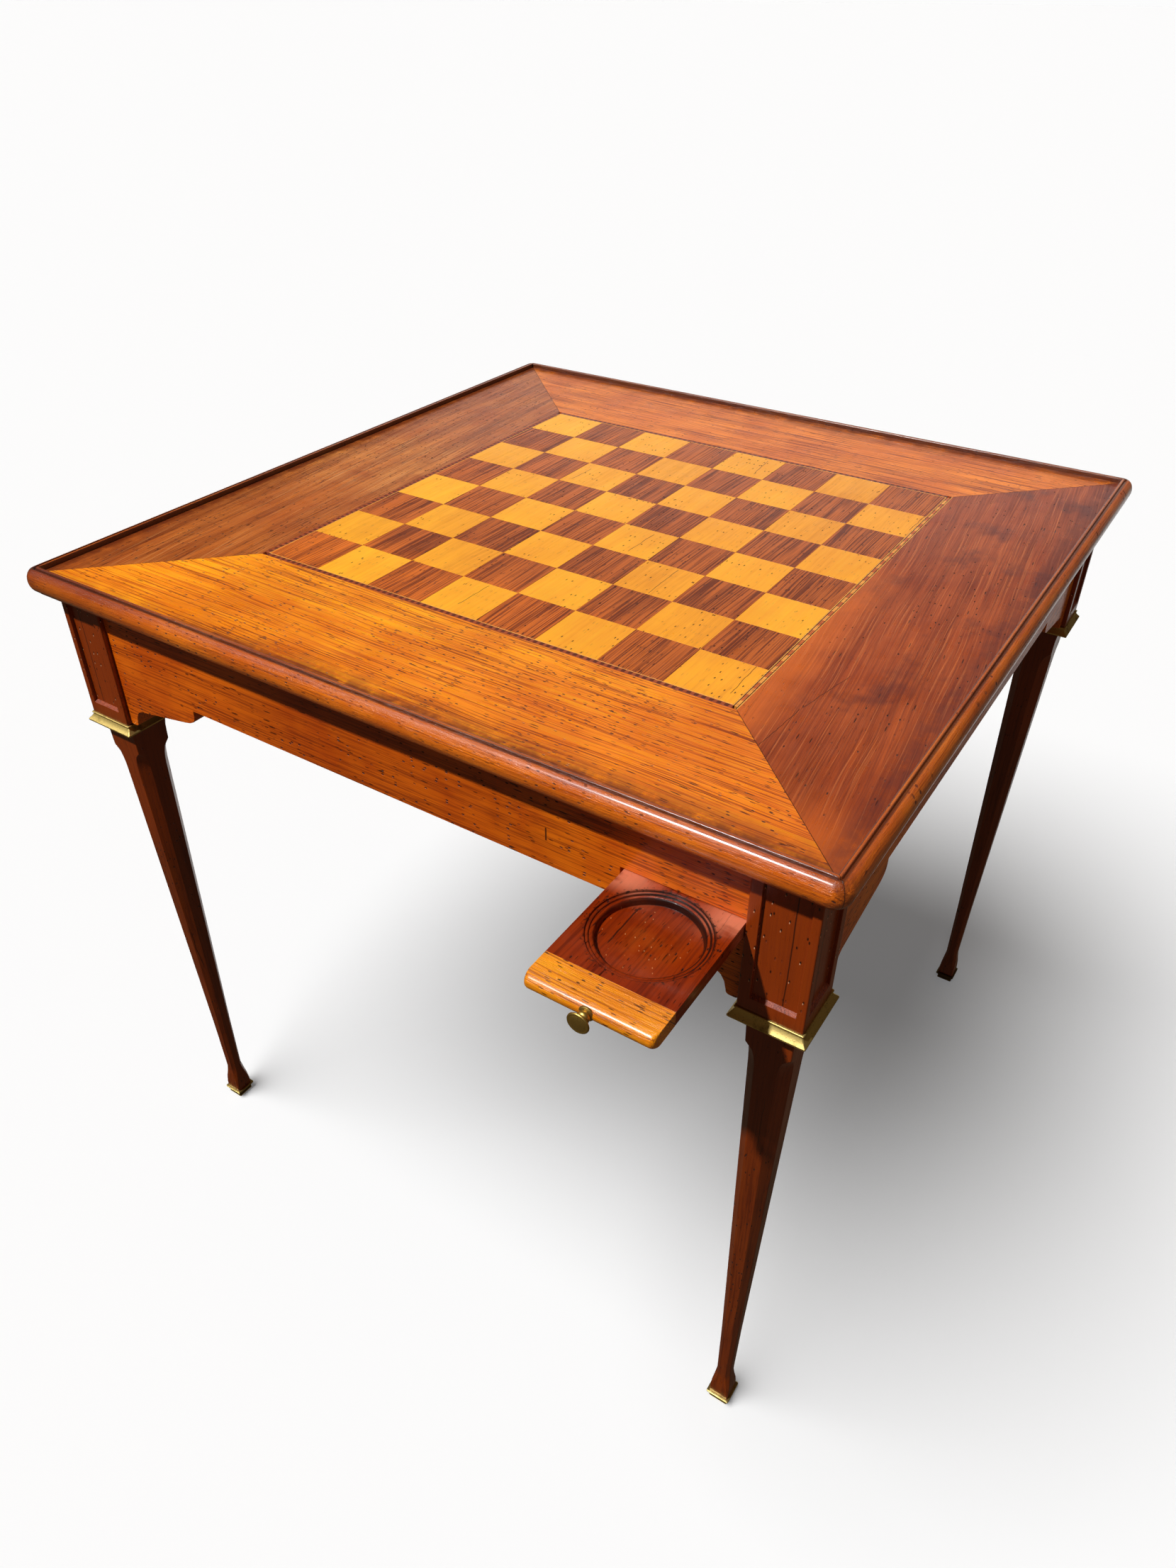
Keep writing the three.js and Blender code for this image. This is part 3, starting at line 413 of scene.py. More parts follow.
def timber(name, grain, shade, dark=0.45, pitch=1.6, lines=0.5, streaks=0.4, patches=0.3, pores=0.5,
           specks=0.2, splits=0.06, skew=0.0, gloss=0.34, coat=0.25, coat_gloss=0.12, grit=0.06, cell=None,
           cell_tone=0.0, lift=1.2, dents=0.0, dashes=0.0, shine=0.5, marks=()):
    """Polished wood with its fibres along one axis: streaks, fine lines, pores, cracks, worm holes and worn
    places.

    A mark is a shade, a function that gives its share from x, y and z in millimetres, and a blend if it
    isn't a plain mix.
    """
    wood = Finish(name)
    x, y, z = place = wood.place()
    along, across, depth = {"x": (x, y, z), "y": (y, x, z), "z": (z, x, y)}[grain]
    tone = 0.0
    if cell:
        luck = wood.chance((x / cell).floor(), (y / cell).floor())
        across = across + luck * 900
        tone = (luck - 0.5) * cell_tone
    warp = wood.noise(along * 0.0035, across * 0.011, depth * 0.011) - 0.5
    across = across + warp * 14 + along * skew
    streak = wood.noise(along * 0.004, across * 0.07, depth * 0.07, 3, 0.6).between(0.3, 0.7)
    line = wood.noise(along * 0.009, across / pitch, depth / pitch, 2, 0.6).between(0.4, 0.66)
    fibre = wood.noise(along * 0.05, across * 2.2, depth * 2.2, 1).between(0.3, 0.7)
    patch = wood.cloud(place, 0.012, 3, 0.6).between(0.38, 0.66)
    amount = (streak - 0.5) * streaks + (line - 0.35) * lines + (fibre - 0.5) * 0.16 + tone + 0.38
    rich = (shade[0] * dark, shade[1] * dark * 0.74, shade[2] * dark * 0.6)
    pale = (min(1, shade[0] * lift), min(1, shade[1] * lift * 1.08), min(1, shade[2] * lift))
    base = wood.node("ShaderNodeValToRGB", {"stops": [(0.0, pale), (0.38, shade), (0.95, rich)]}, {0: amount})
    base = wood.mix(patch * patches, base, (0.72, 0.5, 0.34), blend="MULTIPLY")
    sheet = across + depth * 0.8
    pore = wood.spots(along * 0.16, sheet, 2.6, 0.44, 0.34) * streak.between(0.1, 0.6)
    base = wood.mix(pore * pores, base, darker(rich, 0.3))
    if dashes:
        dash = wood.spots(along * 0.12, sheet + 50.0, 5.2, 0.62, dashes * 0.3)
        pore = pore.larger(dash)
        base = wood.mix(dash * 0.9, base, darker(rich, 0.2))
    cluster = wood.noise(x * 0.021, y * 0.021, z * 0.021 + 5.0, 1).between(0.38, 0.58)
    hole = wood.spots(along * 0.4, sheet + 90.0, 4.6, 0.7, specks * 0.4) * cluster
    base = wood.mix(hole * 0.9, base, darker(rich, 0.1))
    height = (fibre - 0.5) * grit - line * 0.04 - pore * 0.2 - hole + (patch - 0.5) * 0.2
    if splits:
        crack = wood.splits(along, across, splits)
        base = wood.mix(crack * 0.9, base, darker(rich, 0.14))
        height = height - crack
    for mark_shade, mark, *blend in marks:
        base = wood.mix(mark(wood, x, y, z), base, mark_shade, *blend)
    scuff = wood.cloud(place, 0.05, 3)
    roughness = gloss + (scuff - 0.5) * 0.24 + hole * 0.4 + (line - 0.5) * 0.08
    if dents:
        height = height + wood.cloud(place, 0.34, 3, 0.8) * dents
    return wood.finished(base, roughness, height, 0.0004, coat=coat, coat_roughness=coat_gloss, shine=shine)


def mitre_line(wood, x, y, z):
    """The dark joint where two boards meet at 45 degrees."""
    return abs(abs(x) - abs(y)).between(0.6, 0.2) * 0.85


def rim_band(start, end, strength, mottle=0.6, fade=0.0):
    """A darker band beside the rim, from one reach to another, that may fade towards the left."""
    def mark(wood, x, y, z):
        reach = abs(x).larger(abs(y))
        cloud = wood.cloud((x, y, z), 0.05, 4, 0.7)
        amount = cloud.between(0.25, 0.6) * mottle + 1 - mottle
        if fade:
            amount = amount * (x.between(-280, -40) * fade + 1 - fade)
        return (reach + (cloud - 0.5) * 5).between(start, end) * amount * strength
    return mark


def crack_marks(*cracks, width=0.34):
    """Single long cracks across y, each given as x, y, x, y at its two ends."""
    def mark(wood, x, y, z):
        total = 0.0
        wander = (wood.noise(x * 0.03, y * 0.07, z) - 0.5) * 3
        for x0, y0, x1, y1 in cracks:
            middle, half = (y0 + y1) / 2, abs(y1 - y0) / 2
            line = x0 + (y - y0) * ((x1 - x0) / (y1 - y0))
            inside = abs(y - middle).between(half, half * 0.92)
            total = total + abs(x - line + wander).between(width, width * 0.4) * inside
        return total.smaller(1.0) * 0.9
    return mark


def metal(name, shade, tarnish, gloss, spotted, painted_shade=None):
    """Old brass: worn bright on its faces, with brown tarnish in clouds and specks and fine rubbing marks.

    Painted shade is a function of the finish and the coordinates that gives where shade is painted darkest on
    the brass.
    """
    brass = Finish(name)
    x, y, z = place = brass.place()
    cloud = brass.cloud(place, 0.06, 4, 0.65)
    grit = brass.cloud(place, 0.9)
    stain = cloud.between(0.5, 0.75) * spotted
    base = brass.mix(stain, shade, tarnish)
    base = brass.mix(grit.between(0.62, 0.72) * 0.45, base, darker(tarnish, 0.5))
    # Painted shade: darker brass where the function gives it.
    if painted_shade:
        base = brass.mix(painted_shade(brass, x, y, z) * 0.92, base, darker(tarnish, 0.5))
    rub = brass.noise(x * 0.7, y * 0.7, z * 4.0)
    roughness = gloss + stain * 0.28 + (rub - 0.5) * 0.16
    height = (rub - 0.5) * 0.12 + (grit - 0.5) * 0.2
    return brass.finished(base, roughness, height, 0.0002, metallic=1.0)


def baize(name):
    """Green wool cloth: short matted fibres, with paler patches worn by rubbing."""
    cloth = Finish(name)
    x, y, z = place = cloth.place()
    fibre = cloth.cloud(place, 1.7, 4, 0.7)
    weave = cloth.noise(x * 0.9, y * 3.2, z, 1)
    worn = cloth.cloud(place, 0.009, 3)
    base = cloth.mix(fibre.between(0.3, 0.7), tint(22, 62, 38), tint(52, 104, 66))
    base = cloth.mix(worn.between(0.5, 0.72) * 0.5, base, tint(104, 132, 88))
    return cloth.finished(base, 0.95, fibre + weave * 0.5, 0.0004)


# Mesh making


def linked(name, data):
    """A new object in the scene, at the origin."""
    piece = bpy.data.objects.new(name, data)
    bpy.context.scene.collection.objects.link(piece)
    return piece


def solid(name, vertices, faces):
    """A closed mesh object from points in metres, its faces pointing outwards."""
    mesh = bpy.data.meshes.new(name)
    mesh.from_pydata([tuple(point) for point in vertices], [], faces)
    bm = bmesh.new()
    bm.from_mesh(mesh)
    bmesh.ops.remove_doubles(bm, verts=bm.verts, dist=WELD)
    bmesh.ops.recalc_face_normals(bm, faces=bm.faces)
    bm.to_mesh(mesh)
    bm.free()
    return linked(name, mesh)


def settle(piece):
    """Turns what the modifiers make into the piece's own plain mesh."""
    bpy.context.view_layer.update()
    graph = bpy.context.evaluated_depsgraph_get()
    mesh = bpy.data.meshes.new_from_object(piece.evaluated_get(graph), depsgraph=graph)
    mesh.name = piece.name
    piece.modifiers.clear()
    piece.data = mesh
    return piece


def eased(piece, width, segments=2, limit=28.0):
    """Bevels the sharp edges and keeps the flat faces flat in their shading."""
    piece.data.shade_smooth()
    bevel = piece.modifiers.new("ease", "BEVEL")
    bevel.width = width
    bevel.segments = segments
    bevel.limit_method = "ANGLE"
    bevel.angle_limit = math.radians(limit)
    bevel.use_clamp_overlap = True
    flat = piece.modifiers.new("flat", "WEIGHTED_NORMAL")
    flat.keep_sharp = True
    flat.weight = 80
    return settle(piece)


def worked(node, name, width):
    """A CAD node's own shape as timber: its flat faces whole and its edges eased."""
    mesh = frame["nodes"][node].data.copy()
    mesh.materials.clear()
    bm = bmesh.new()
    bm.from_mesh(mesh)
    bmesh.ops.remove_doubles(bm, verts=bm.verts, dist=NODE_WELD)
    edges = [edge for edge in bm.edges if edge.is_manifold]
    bmesh.ops.dissolve_limit(
        bm, angle_limit=math.radians(FLAT_ANGLE), verts=bm.verts, edges=edges, use_dissolve_boundaries=False
    )
    bm.to_mesh(mesh)
    bm.free()
    for layer in list(mesh.uv_layers):
        mesh.uv_layers.remove(layer)
    piece = linked(name, mesh)
    return eased(piece, width) if width else piece


def dressed(piece, material, body, *nodes, slot=None):
    """Gives a piece its material, the body it moves with and the CAD nodes that it stands for."""
    piece.data.materials.clear()
    piece.data.materials.append(material)
    for polygon in piece.data.polygons:
        polygon.material_index = 0
    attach(piece, body)
    if nodes:
        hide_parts(*nodes)
    slot or SLOT_OF_NODE[nodes[0]]


def quarter(point, quarters):
    """The point turned about the middle of the table by quarters of a turn."""
    x, y, z = point
    for _ in range(quarters):
        x, y = -y, x
    return (x, y, z)


def arc(centre, radii, start, end, steps):
    """Points on an ellipse from one angle to another, in degrees."""
    angles = [math.radians(start + (end - start) * step / steps) for step in range(steps + 1)]
    return [(centre[0] + radii[0] * math.cos(a), centre[1] + radii[1] * math.sin(a)) for a in angles]


def band(first, second, count):
    """The faces between two rings of points, each given by the number of its first point."""
    return [[first + i, first + (i + 1) % count, second + (i + 1) % count, second + i] for i in range(count)]


def lofted(name, rings, looped=False):
    """A skin over rings of points, closed at both ends or, where looped, joined end to end."""
    count = len(rings[0])
    starts = [number * count for number in range(len(rings))]
    faces = [] if looped else [list(range(start, start + count)) for start in (starts[0], starts[-1])]
    for first, second in zip(starts, starts[1:] + starts[:1] if looped else starts[1:]):
        faces += band(first, second, count)
    return solid(name, [point for ring in rings for point in ring], faces)


def prism(name, outline, bottom, top, quarters=0):
    """A flat board with a plan outline."""
    return lofted(name, [[quarter((x, y, height), quarters) for x, y in outline] for height in (bottom, top)])


def mitred_board(name, inner, outer, bottom, top, quarters):
    outline = [(-outer, -outer), (outer, -outer), (inner, -inner), (-inner, -inner)]
    return prism(name, outline, bottom, top, quarters)


def mitred_moulding(name, profile, inner, quarters, corner_steps=8):
    """One side of a moulding round a square, from mitre to mitre, with rounded outer corners."""
    stations = [(-1, step) for step in range(corner_steps, -1, -1)]
    stations += [(1, step) for step in range(corner_steps + 1)]
    rings = []
    for side, step in stations:
        angle = QUARTER / 2 * step / corner_steps
        across, away = math.sin(angle), math.cos(angle)
        plan = [(side * (inner + (reach - inner) * across), -(inner + (reach - inner) * away), height)
                for reach, height in profile]
        rings.append([quarter(point, quarters) for point in plan])
    return lofted(name, rings)


def square_turning(name, profile, centre, arris, looped):
    """A four-sided turning: profile points are (half width, height), and the arris cuts its corners."""
    rings = []
    for half, height in profile:
        cut = min(arris, half * 0.4)
        side = [(half, -(half - cut), height), (half, half - cut, height)]
        ring = [quarter(point, turn) for turn in range(4) for point in side]
        rings.append([(x + centre[0], y + centre[1], z) for x, y, z in ring])
    return lofted(name, rings, looped)


def turning(name, profile, steps, place):
    """A round turning: profile points are (radius, length along the axis), and place puts them in place."""
    points, faces, rings = [], [], []
    for radius, along in profile:
        if not radius:
            rings.append([len(points)])
            points.append(place(0.0, 0.0, along))
        else:
            rings.append(list(range(len(points), len(points) + steps)))
            angles = [2 * math.pi * step / steps for step in range(steps)]
            points += [place(radius * math.cos(a), radius * math.sin(a), along) for a in angles]
    for first, second in zip(rings, rings[1:]):
        for step in range(steps):
            after = (step + 1) % steps
            if len(first) == 1:
                faces.append([first[0], second[step], second[after]])
            elif len(second) == 1:
                faces.append([first[step], first[after], second[0]])
            else:
                faces.append([first[step], first[after], second[after], second[step]])
    return solid(name, points, faces)


def half_turned(piece, name):
    """A copy turned half round the middle of the table."""
    mesh = piece.data.copy()
    mesh.transform(Matrix.Rotation(math.pi, 4, "Z"))
    return linked(name, mesh)


# Geometry node trees


class Repeat(Tree):
    """A geometry node tree that repeats a piece."""

    def __init__(self, name, **inputs):
        super().__init__(bpy.data.node_groups.new(name, "GeometryNodeTree"))
        new_socket = self.tree.interface.new_socket
        new_socket("Geometry", in_out="INPUT", socket_type="NodeSocketGeometry")
        self.identifiers = {}
        for label, kind in {**inputs, "material": "Material"}.items():
            made = new_socket(label.capitalize(), in_out="INPUT", socket_type=f"NodeSocket{kind}")
            self.identifiers[label] = made.identifier
        new_socket("Geometry", in_out="OUTPUT", socket_type="NodeSocketGeometry")
        self.inputs = self.tree.nodes.new("NodeGroupInput").outputs

    def given(self, label):
        return Value(self, self.inputs[label.capitalize()])

    def copies(self, count, position=(0, 0, 0), turn=(0, 0, 0), order=None):
        """Ends the tree with a copy of the piece at each place, without those of an odd order."""
        points = self.node("GeometryNodePoints", sockets={"Count": count, "Position": position})
        if order:
            chosen = {"Geometry": points, "Selection": order.math("MODULO", 2.0)}
            points = self.node("GeometryNodeDeleteGeometry", {"domain": "POINT"}, chosen)
        sockets = {"Points": points, "Instance": self.given("geometry"), "Rotation": turn}
        copies = self.node("GeometryNodeInstanceOnPoints", sockets=sockets)
        real = self.node("GeometryNodeRealizeInstances", sockets={0: copies})
        finish = {"Geometry": real, "Material": self.given("material")}
        self.node("NodeGroupOutput", sockets={0: self.node("GeometryNodeSetMaterial", sockets=finish)})
        return self

    def apply(self, piece, **values):
        modifier = piece.modifiers.new("repeat", "NODES")
        modifier.node_group = self.tree
        for label, value in values.items():
            modifier[self.identifiers[label]] = value
        return settle(piece)


def copies_round_tree():
    """Copies of the piece turned about the middle of the table."""
    tree = Repeat("copies_round", count="Int")
    count = tree.given("count")
    angle = tree.node("GeometryNodeInputIndex") * (2 * math.pi / count)
    turn = tree.node("FunctionNodeAxisAngleToRotation", sockets={"Axis": (0, 0, 1), "Angle": angle})
    return tree.copies(count, turn=turn)


def row_tree():
    """Copies of the piece in a row along X, with a gap in the middle and every other one left out."""
    tree = Repeat("row", count="Int", pitch="Float", gap="Float", parity="Int")
    count, index = tree.given("count"), tree.node("GeometryNodeInputIndex")
    from_middle = index - (count - 1.0) / 2.0
    place = from_middle * tree.given("pitch") + from_middle.sign() * tree.given("gap")
    return tree.copies(count, order=index + tree.given("parity"), position=tree.vector(place))


def chequer_tree():
    """Copies of the piece on every other square of a board."""
    tree = Repeat("chequer", count="Int", pitch="Float", parity="Int")
    count, pitch, index = tree.given("count"), tree.given("pitch"), tree.node("GeometryNodeInputIndex")
    column = (index / count).floor()
    row = index - column * count
    middle = (count - 1.0) / 2.0
    position = tree.vector((column - middle) * pitch, (row - middle) * pitch)
    return tree.copies(count * count, order=column + row + tree.given("parity"), position=position)


# Operators


class TABLE_OT_squares(bpy.types.Operator):
    """Lay the chess squares"""
    bl_idname = "games_table.squares"
    bl_label = "Chess squares"

    def execute(self, context):
        top = context.scene.games_table_top
        pitch = 2 * BOARD_HALF / top.square_count
        half = (pitch - top.square_joint) / 2
        chequer = chequer_tree()
        light_cracks = crack_marks(
            (235.0, -232, 233.5, -182), (35.7, -55, 36.4, -6), (96.5, -121, 95.4, -63), (46, 192, 41.6, 239),
            (241.4, 141, 242.6, 187), (-31, -230, -29.6, -185), (-112, 70, -110, 108), width=0.4,
        )

        def left_pale(wood, x, y, z):
            """The squares on the left are a little paler."""
            return x.between(60, -240)

        def near_pale(wood, x, y, z):
            """The dark squares of the front row are worn paler."""
            return y.between(-150, -190) * x.between(180, 60)

        light = timber(
            "satinwood_squares", "y", tuple(top.light_square), dark=0.6, pitch=3.0, lines=0.1, streaks=0.14,
            pores=0.3, patches=0.22, specks=0.6, splits=0.0, gloss=0.36, coat=0.2, cell=pitch / MM,
            cell_tone=0.26,
            marks=[((1.1, 1.22, 1.4), left_pale, "MULTIPLY"), (tint(70, 34, 10), light_cracks)],
        )
        dark = timber(
            "rosewood_squares", "y", tuple(top.dark_square), dark=0.46, pitch=1.6, lines=1.1, streaks=0.7,
            pores=1.0, patches=0.2, specks=0.4, splits=0.03, gloss=0.36, coat=0.2, cell=pitch / MM,
            cell_tone=0.3, lift=1.5,
            marks=[((1.16, 1.2, 1.2), left_pale, "MULTIPLY"), ((1.24, 1.24, 0.9), near_pale, "MULTIPLY")],
        )
        for parity, name, material in ((0, "dark_square_veneers", dark), (1, "light_square_veneers", light)):
            outline = [(-half, -half), (half, -half), (half, half), (-half, half)]
            square = eased(prism(name, outline, BOARD_TOP - VENEER, BOARD_TOP), top.ease, segments=1)
            chequer.apply(square, count=top.square_count, pitch=pitch, parity=parity, material=material)
            dressed(square, material, "top", "light_squares" if parity else "dark_squares")
        return {"FINISHED"}


class TABLE_OT_stringing(bpy.types.Operator):
    """Inlay the stringing between the squares and the borders"""
    bl_idname = "games_table.stringing"
    bl_label = "Stringing"

    def execute(self, context):
        top = context.scene.games_table_top
        row = row_tree()
        shades = {
            "cream_line": ((244, 172, 74), 0.7), "black_line": ((48, 24, 14), 0.45),
            "pink_line": ((168, 70, 28), 0.7), "pale_blocks": ((238, 156, 62), 0.66),
            "orange_blocks": ((196, 96, 36), 0.6), "brown_chips": ((104, 40, 20), 0.6),
            "red_chips": ((164, 76, 38), 0.6),
        }
        plain = dict(lines=0.25, streaks=0.2, specks=0, splits=0, gloss=0.4)
        woods = {}
        for name, (shade, dark) in shades.items():
            woods[name] = timber(name, "x", tint(*shade), dark=dark, **plain)
        cream, black = ("cream_line", top.cream_width), ("black_line", top.line_width)
        pink, chips = ("pink_line", top.cream_width), (None, None)
        for quarters, side in enumerate(SIDES):
            strips, turns, count = [cream, chips, pink], ("brown_chips", "red_chips"), top.chip_count
            if side == "right":
                strips = [cream, black, chips, black, cream]
                turns, count = ("pale_blocks", "orange_blocks"), top.block_count
            chip_width = STRINGING_OUTER - BOARD_HALF - sum(width for _, width in strips if width)
            inner = BOARD_HALF
            for number, (wood, width) in enumerate(strips):
                outer = inner + (width or chip_width)
                name = f"string_{side}_{number + 1}"
                if wood:
                    strip = mitred_board(name, inner, outer, BOARD_TOP - VENEER, BOARD_TOP, quarters)
                    dressed(eased(strip, top.ease / 2, segments=1), woods[wood], "top", "stringing")
                else:
                    self.chips(top, row, name, [woods[turn] for turn in turns], count, inner, outer, quarters)
                inner = outer
        return {"FINISHED"}

    @staticmethod
    def chips(top, row, name, woods, count, inner, outer, quarters):
        """A row of chips in two woods by turns."""
        pitch = 2 * inner / count
        half = pitch / 2 - top.ease / 4
        for parity, wood in enumerate(woods):
            outline = [(-half, -outer), (half, -outer), (half, -inner), (-half, -inner)]
            chip = prism(f"{name}_{parity + 1}", outline, BOARD_TOP - VENEER, BOARD_TOP)
            chip = eased(chip, top.ease / 2, segments=1)
            row.apply(chip, count=count, pitch=pitch, parity=parity, material=wood, gap=0.0)
            chip.data.transform(Matrix.Rotation(quarters * QUARTER, 4, "Z"))
            dressed(chip, wood, "top", "stringing")


class TABLE_OT_borders(bpy.types.Operator):
    """Lay the four mitred boards round the chess squares"""
    bl_idname = "games_table.borders"
    bl_label = "Border boards"

    def execute(self, context):
        top = context.scene.games_table_top
        looks = {
            "front": dict(dark=0.36, pitch=1.6, lines=0.7, streaks=0.3, pores=1.0, patches=0.5, specks=1.0,
                          skew=0.02, lift=1.35, dashes=0.8),
            "right": dict(dark=0.5, pitch=1.5, lines=0.4, streaks=0.4, pores=0.4, patches=0.6, specks=0.35,
                          skew=0.12, lift=1.4, dashes=0.3),
            "back": dict(dark=0.4, pitch=1.6, lines=0.8, streaks=0.45, pores=0.8, patches=0.6, specks=0.4,
                         skew=0.02, dashes=0.5),
            "left": dict(dark=0.42, pitch=1.5, lines=0.5, streaks=0.5, pores=0.8, patches=0.6, specks=0.8,
                         skew=0.03, lift=1.4, dashes=0.7),
        }
        purple, umber = tint(84, 32, 30), tint(104, 40, 12)

        def front_tone(wood, x, y, z):
            """Redder towards the right end and in clouds."""
            cloud = wood.noise(x * 0.014, y * 0.03, 41.0, 3).between(0.5, 0.64)
            return (x.between(-60, 320) * 0.6 + cloud * 0.4).smaller(1.0)

        def painted_left_sheen(wood, x, y, z):
            """Painted sheen: paler, yellower wood at the left end of the front board."""
            return x.between(-190, -290) * (wood.noise(x * 0.02, y * 0.04, 61.0) * 0.5 + 0.7)

        def middle_fade(wood, x, y, z):
            """A faded place half-way along the left board."""
            cloud = wood.noise(x * 0.015, y * 0.02, 71.0, 3)
            return abs(y + (cloud - 0.5) * 90).between(120, 10) * cloud.between(0.3, 0.5)

        def inner_gold(wood, x, y, z):
            """Paler, golden wood beside the stringing."""
            ragged = y + wood.noise(x * 0.02, y * 0.05, 51.0) * 30
            return ragged.between(-302, -262) * x.between(300, 120) * 0.6

        def near_shade(wood, x, y, z):
            """Darker wood at the front end of the right board."""
            return y.between(-210, -320) * x.between(268, 300) * 0.4

        def pale_lines(wood, x, y, z):
            """Thin light lines that fan out a little from the grain."""
            across = x + y * 0.12 + (wood.noise(x * 0.01, y * 0.004, 3.0) - 0.5) * 16
            return wood.noise(across * 0.7, y * 0.005, 9.0, 2, 0.7).between(0.54, 0.66) * 0.5

        def smudges(wood, x, y, z):
            """Purple clouds along the right board."""
            return wood.noise(x * 0.017, y * 0.012, 21.0, 4, 0.6).between(0.53, 0.7) * 0.65

        def mitre_glow(wood, x, y, z):
            """The golden wood by the stringing and at the front mitre."""
            ragged = x + wood.noise(x * 0.02, y * 0.02, 31.0) * 40
            inner = ragged.between(312, 268) * y.between(110, -60)
            return inner.larger(y.between(-300, -372)) * 0.56

        def beside_rim(fade=0.0):
            """Darker bands beside the rim: a wide soft one and a narrow dark one."""
            bands = (rim_band(352.0, 386.0, 0.6, 1.0, fade), rim_band(376.0, 385.0, 0.8, 0.6, fade))
            return [(umber, mark) for mark in bands]

        long_crack = crack_marks((284, -284, 289, -222), (289, -222, 302, -155))
        # The front board's marks include a painted sheen at its left end.
        marks = {
            "front": [((0.88, 0.72, 0.5), front_tone, "MULTIPLY"), ((1.1, 1.34, 0.8), inner_gold, "MULTIPLY"),
                      ((1.16, 1.26, 2.2), painted_left_sheen, "MULTIPLY"), *beside_rim(0.75)],
            "right": [(tint(212, 116, 58), pale_lines), (purple, smudges), (tint(232, 112, 28), mitre_glow),
                      ((0.7, 0.62, 0.5), near_shade, "MULTIPLY"), (purple, rim_band(364.0, 380.0, 0.55)),
                      (tint(36, 14, 8), long_crack)],
            "back": beside_rim(),
            "left": [(tint(214, 138, 74), pale_lines), ((1.3, 1.7, 2.3), middle_fade, "MULTIPLY"),
                     *beside_rim()],
        }
        for quarters, side in enumerate(SIDES):
            shade = tuple(getattr(top, f"{side}_board"))
            joined = [*marks[side], (tint(40, 18, 8), mitre_line)]
            material = timber(f"{side}_board_cherry", GRAIN_OF_SIDE[side], shade, gloss=0.33, marks=joined,
                              **looks[side])
            name = f"{side}_border_board"
            board = mitred_board(name, STRINGING_OUTER, RIM_INNER, BOARD_TOP - VENEER, BOARD_TOP, quarters)
            dressed(eased(board, top.ease * 1.5), material, "top", f"border_{side}")
        return {"FINISHED"}


class TABLE_OT_rim(bpy.types.Operator):
    """Run the moulded rim round the top"""
    bl_idname = "games_table.rim"
    bl_label = "Rim"

    def execute(self, context):
        top = context.scene.games_table_top
        nose_start = RIM_INNER + top.fillet_width + top.quirk_width
        profile = self.profile(top, nose_start)

        def dark_quirk(wood, x, y, z):
            """Darker in the quirk and beside it, on the upper part of the rim."""
            middle = (nose_start - top.quirk_width / 2) / MM
            near_top = z.between(RIM_TOP / MM - 6, RIM_TOP / MM - 3)
            return abs(abs(x).larger(abs(y)) - middle).between(2.8, 0.9) * near_top * 0.8

        def painted_back_highlight(wood, x, y, z):
            """Painted highlight: a pale line along the top of the back rim, standing for the reflection of
            the bright sky.
            """
            worn = wood.noise(x * 0.06, 5.0, 2.0, 3).between(0.42, 0.6)
            return abs(y - nose_start / MM - 1.5).between(1.1, 0.4) * worn * 0.75

        def dark_fillet_edge(wood, x, y, z):
            """Darker where board and fillet meet."""
            return abs(x).larger(abs(y)).between(RIM_INNER / MM + 1.3, RIM_INNER / MM + 0.5) * 0.85

        def corner_stain(wood, x, y, z):
            """Dark polish that has gathered on the corners of the nose."""
            cloud = wood.cloud((x, y, z), 0.09, 4, 0.7)
            return abs(x).smaller(abs(y)).between(372, 398) * cloud.between(0.4, 0.6) * 0.6

        def nose_darkening(wood, x, y, z):
            """Darker on the upper side of the nose and at the left end of the front."""
            ragged = z + (wood.cloud((x, y, z), 0.03, 4, 0.7) - 0.5) * 5
            left_end = x.between(-210, -320) * y.between(-380, -388)
            return ragged.between(RIM_TOP / MM - 7, RIM_TOP / MM - 1) * 0.45 + left_end * 0.5

        for quarters, side in enumerate(SIDES):
            rim = mitred_moulding(f"{side}_rim_moulding", profile, RIM_INNER, quarters)
            rim.data.shade_smooth()
            rim.data.set_sharp_from_angle(angle=math.radians(38))
            # The back rim gets a painted highlight along its top.
            wear_and_highlight = [(tint(255, 222, 170), painted_back_highlight)] if side == "back" else []
            marks = [(tint(142, 52, 12), nose_darkening), (tint(54, 20, 10), dark_quirk),
                     (tint(60, 22, 10), dark_fillet_edge), (tint(92, 32, 14), corner_stain), *wear_and_highlight,
                     (tint(40, 18, 8), mitre_line)]
            material = timber(
                f"{side}_rim_polish", GRAIN_OF_SIDE[side], tuple(top.rim), dark=0.4, pores=0.9, patches=0.6,
                specks=1.0, gloss=0.36, coat=1.0, coat_gloss=0.2, grit=0.3, dents=1.4, marks=marks,
            )
            dressed(rim, material, "top", f"rim_{side}")
        return {"FINISHED"}

    @staticmethod
    def profile(top, nose_start):
        """Up the inner side, over the fillet, through the quirk and round the nose to the lower fillet."""
        ease, slope = top.fillet_ease, top.quirk_slope
        fillet_end, quirk_floor = RIM_INNER + top.fillet_width, RIM_TOP - top.quirk_depth
        nose_bottom = RIM_BOTTOM + top.lower_fillet
        nose_half = (RIM_TOP - top.nose_drop - nose_bottom) / 2
        nose = (RIM_REACH - nose_start, nose_half)
        return [
            (RIM_INNER, RIM_BOTTOM),
            *arc((RIM_INNER + ease, RIM_TOP - ease), (ease, ease), 180, 90, 4),
            *arc((fillet_end - ease, RIM_TOP - ease), (ease, ease), 90, 20, 4),
            (fillet_end + slope, quirk_floor), (nose_start - slope, quirk_floor),
            *arc((nose_start, nose_bottom + nose_half), nose, 90, -90, top.nose_steps),
            (nose_start, RIM_BOTTOM),
        ]


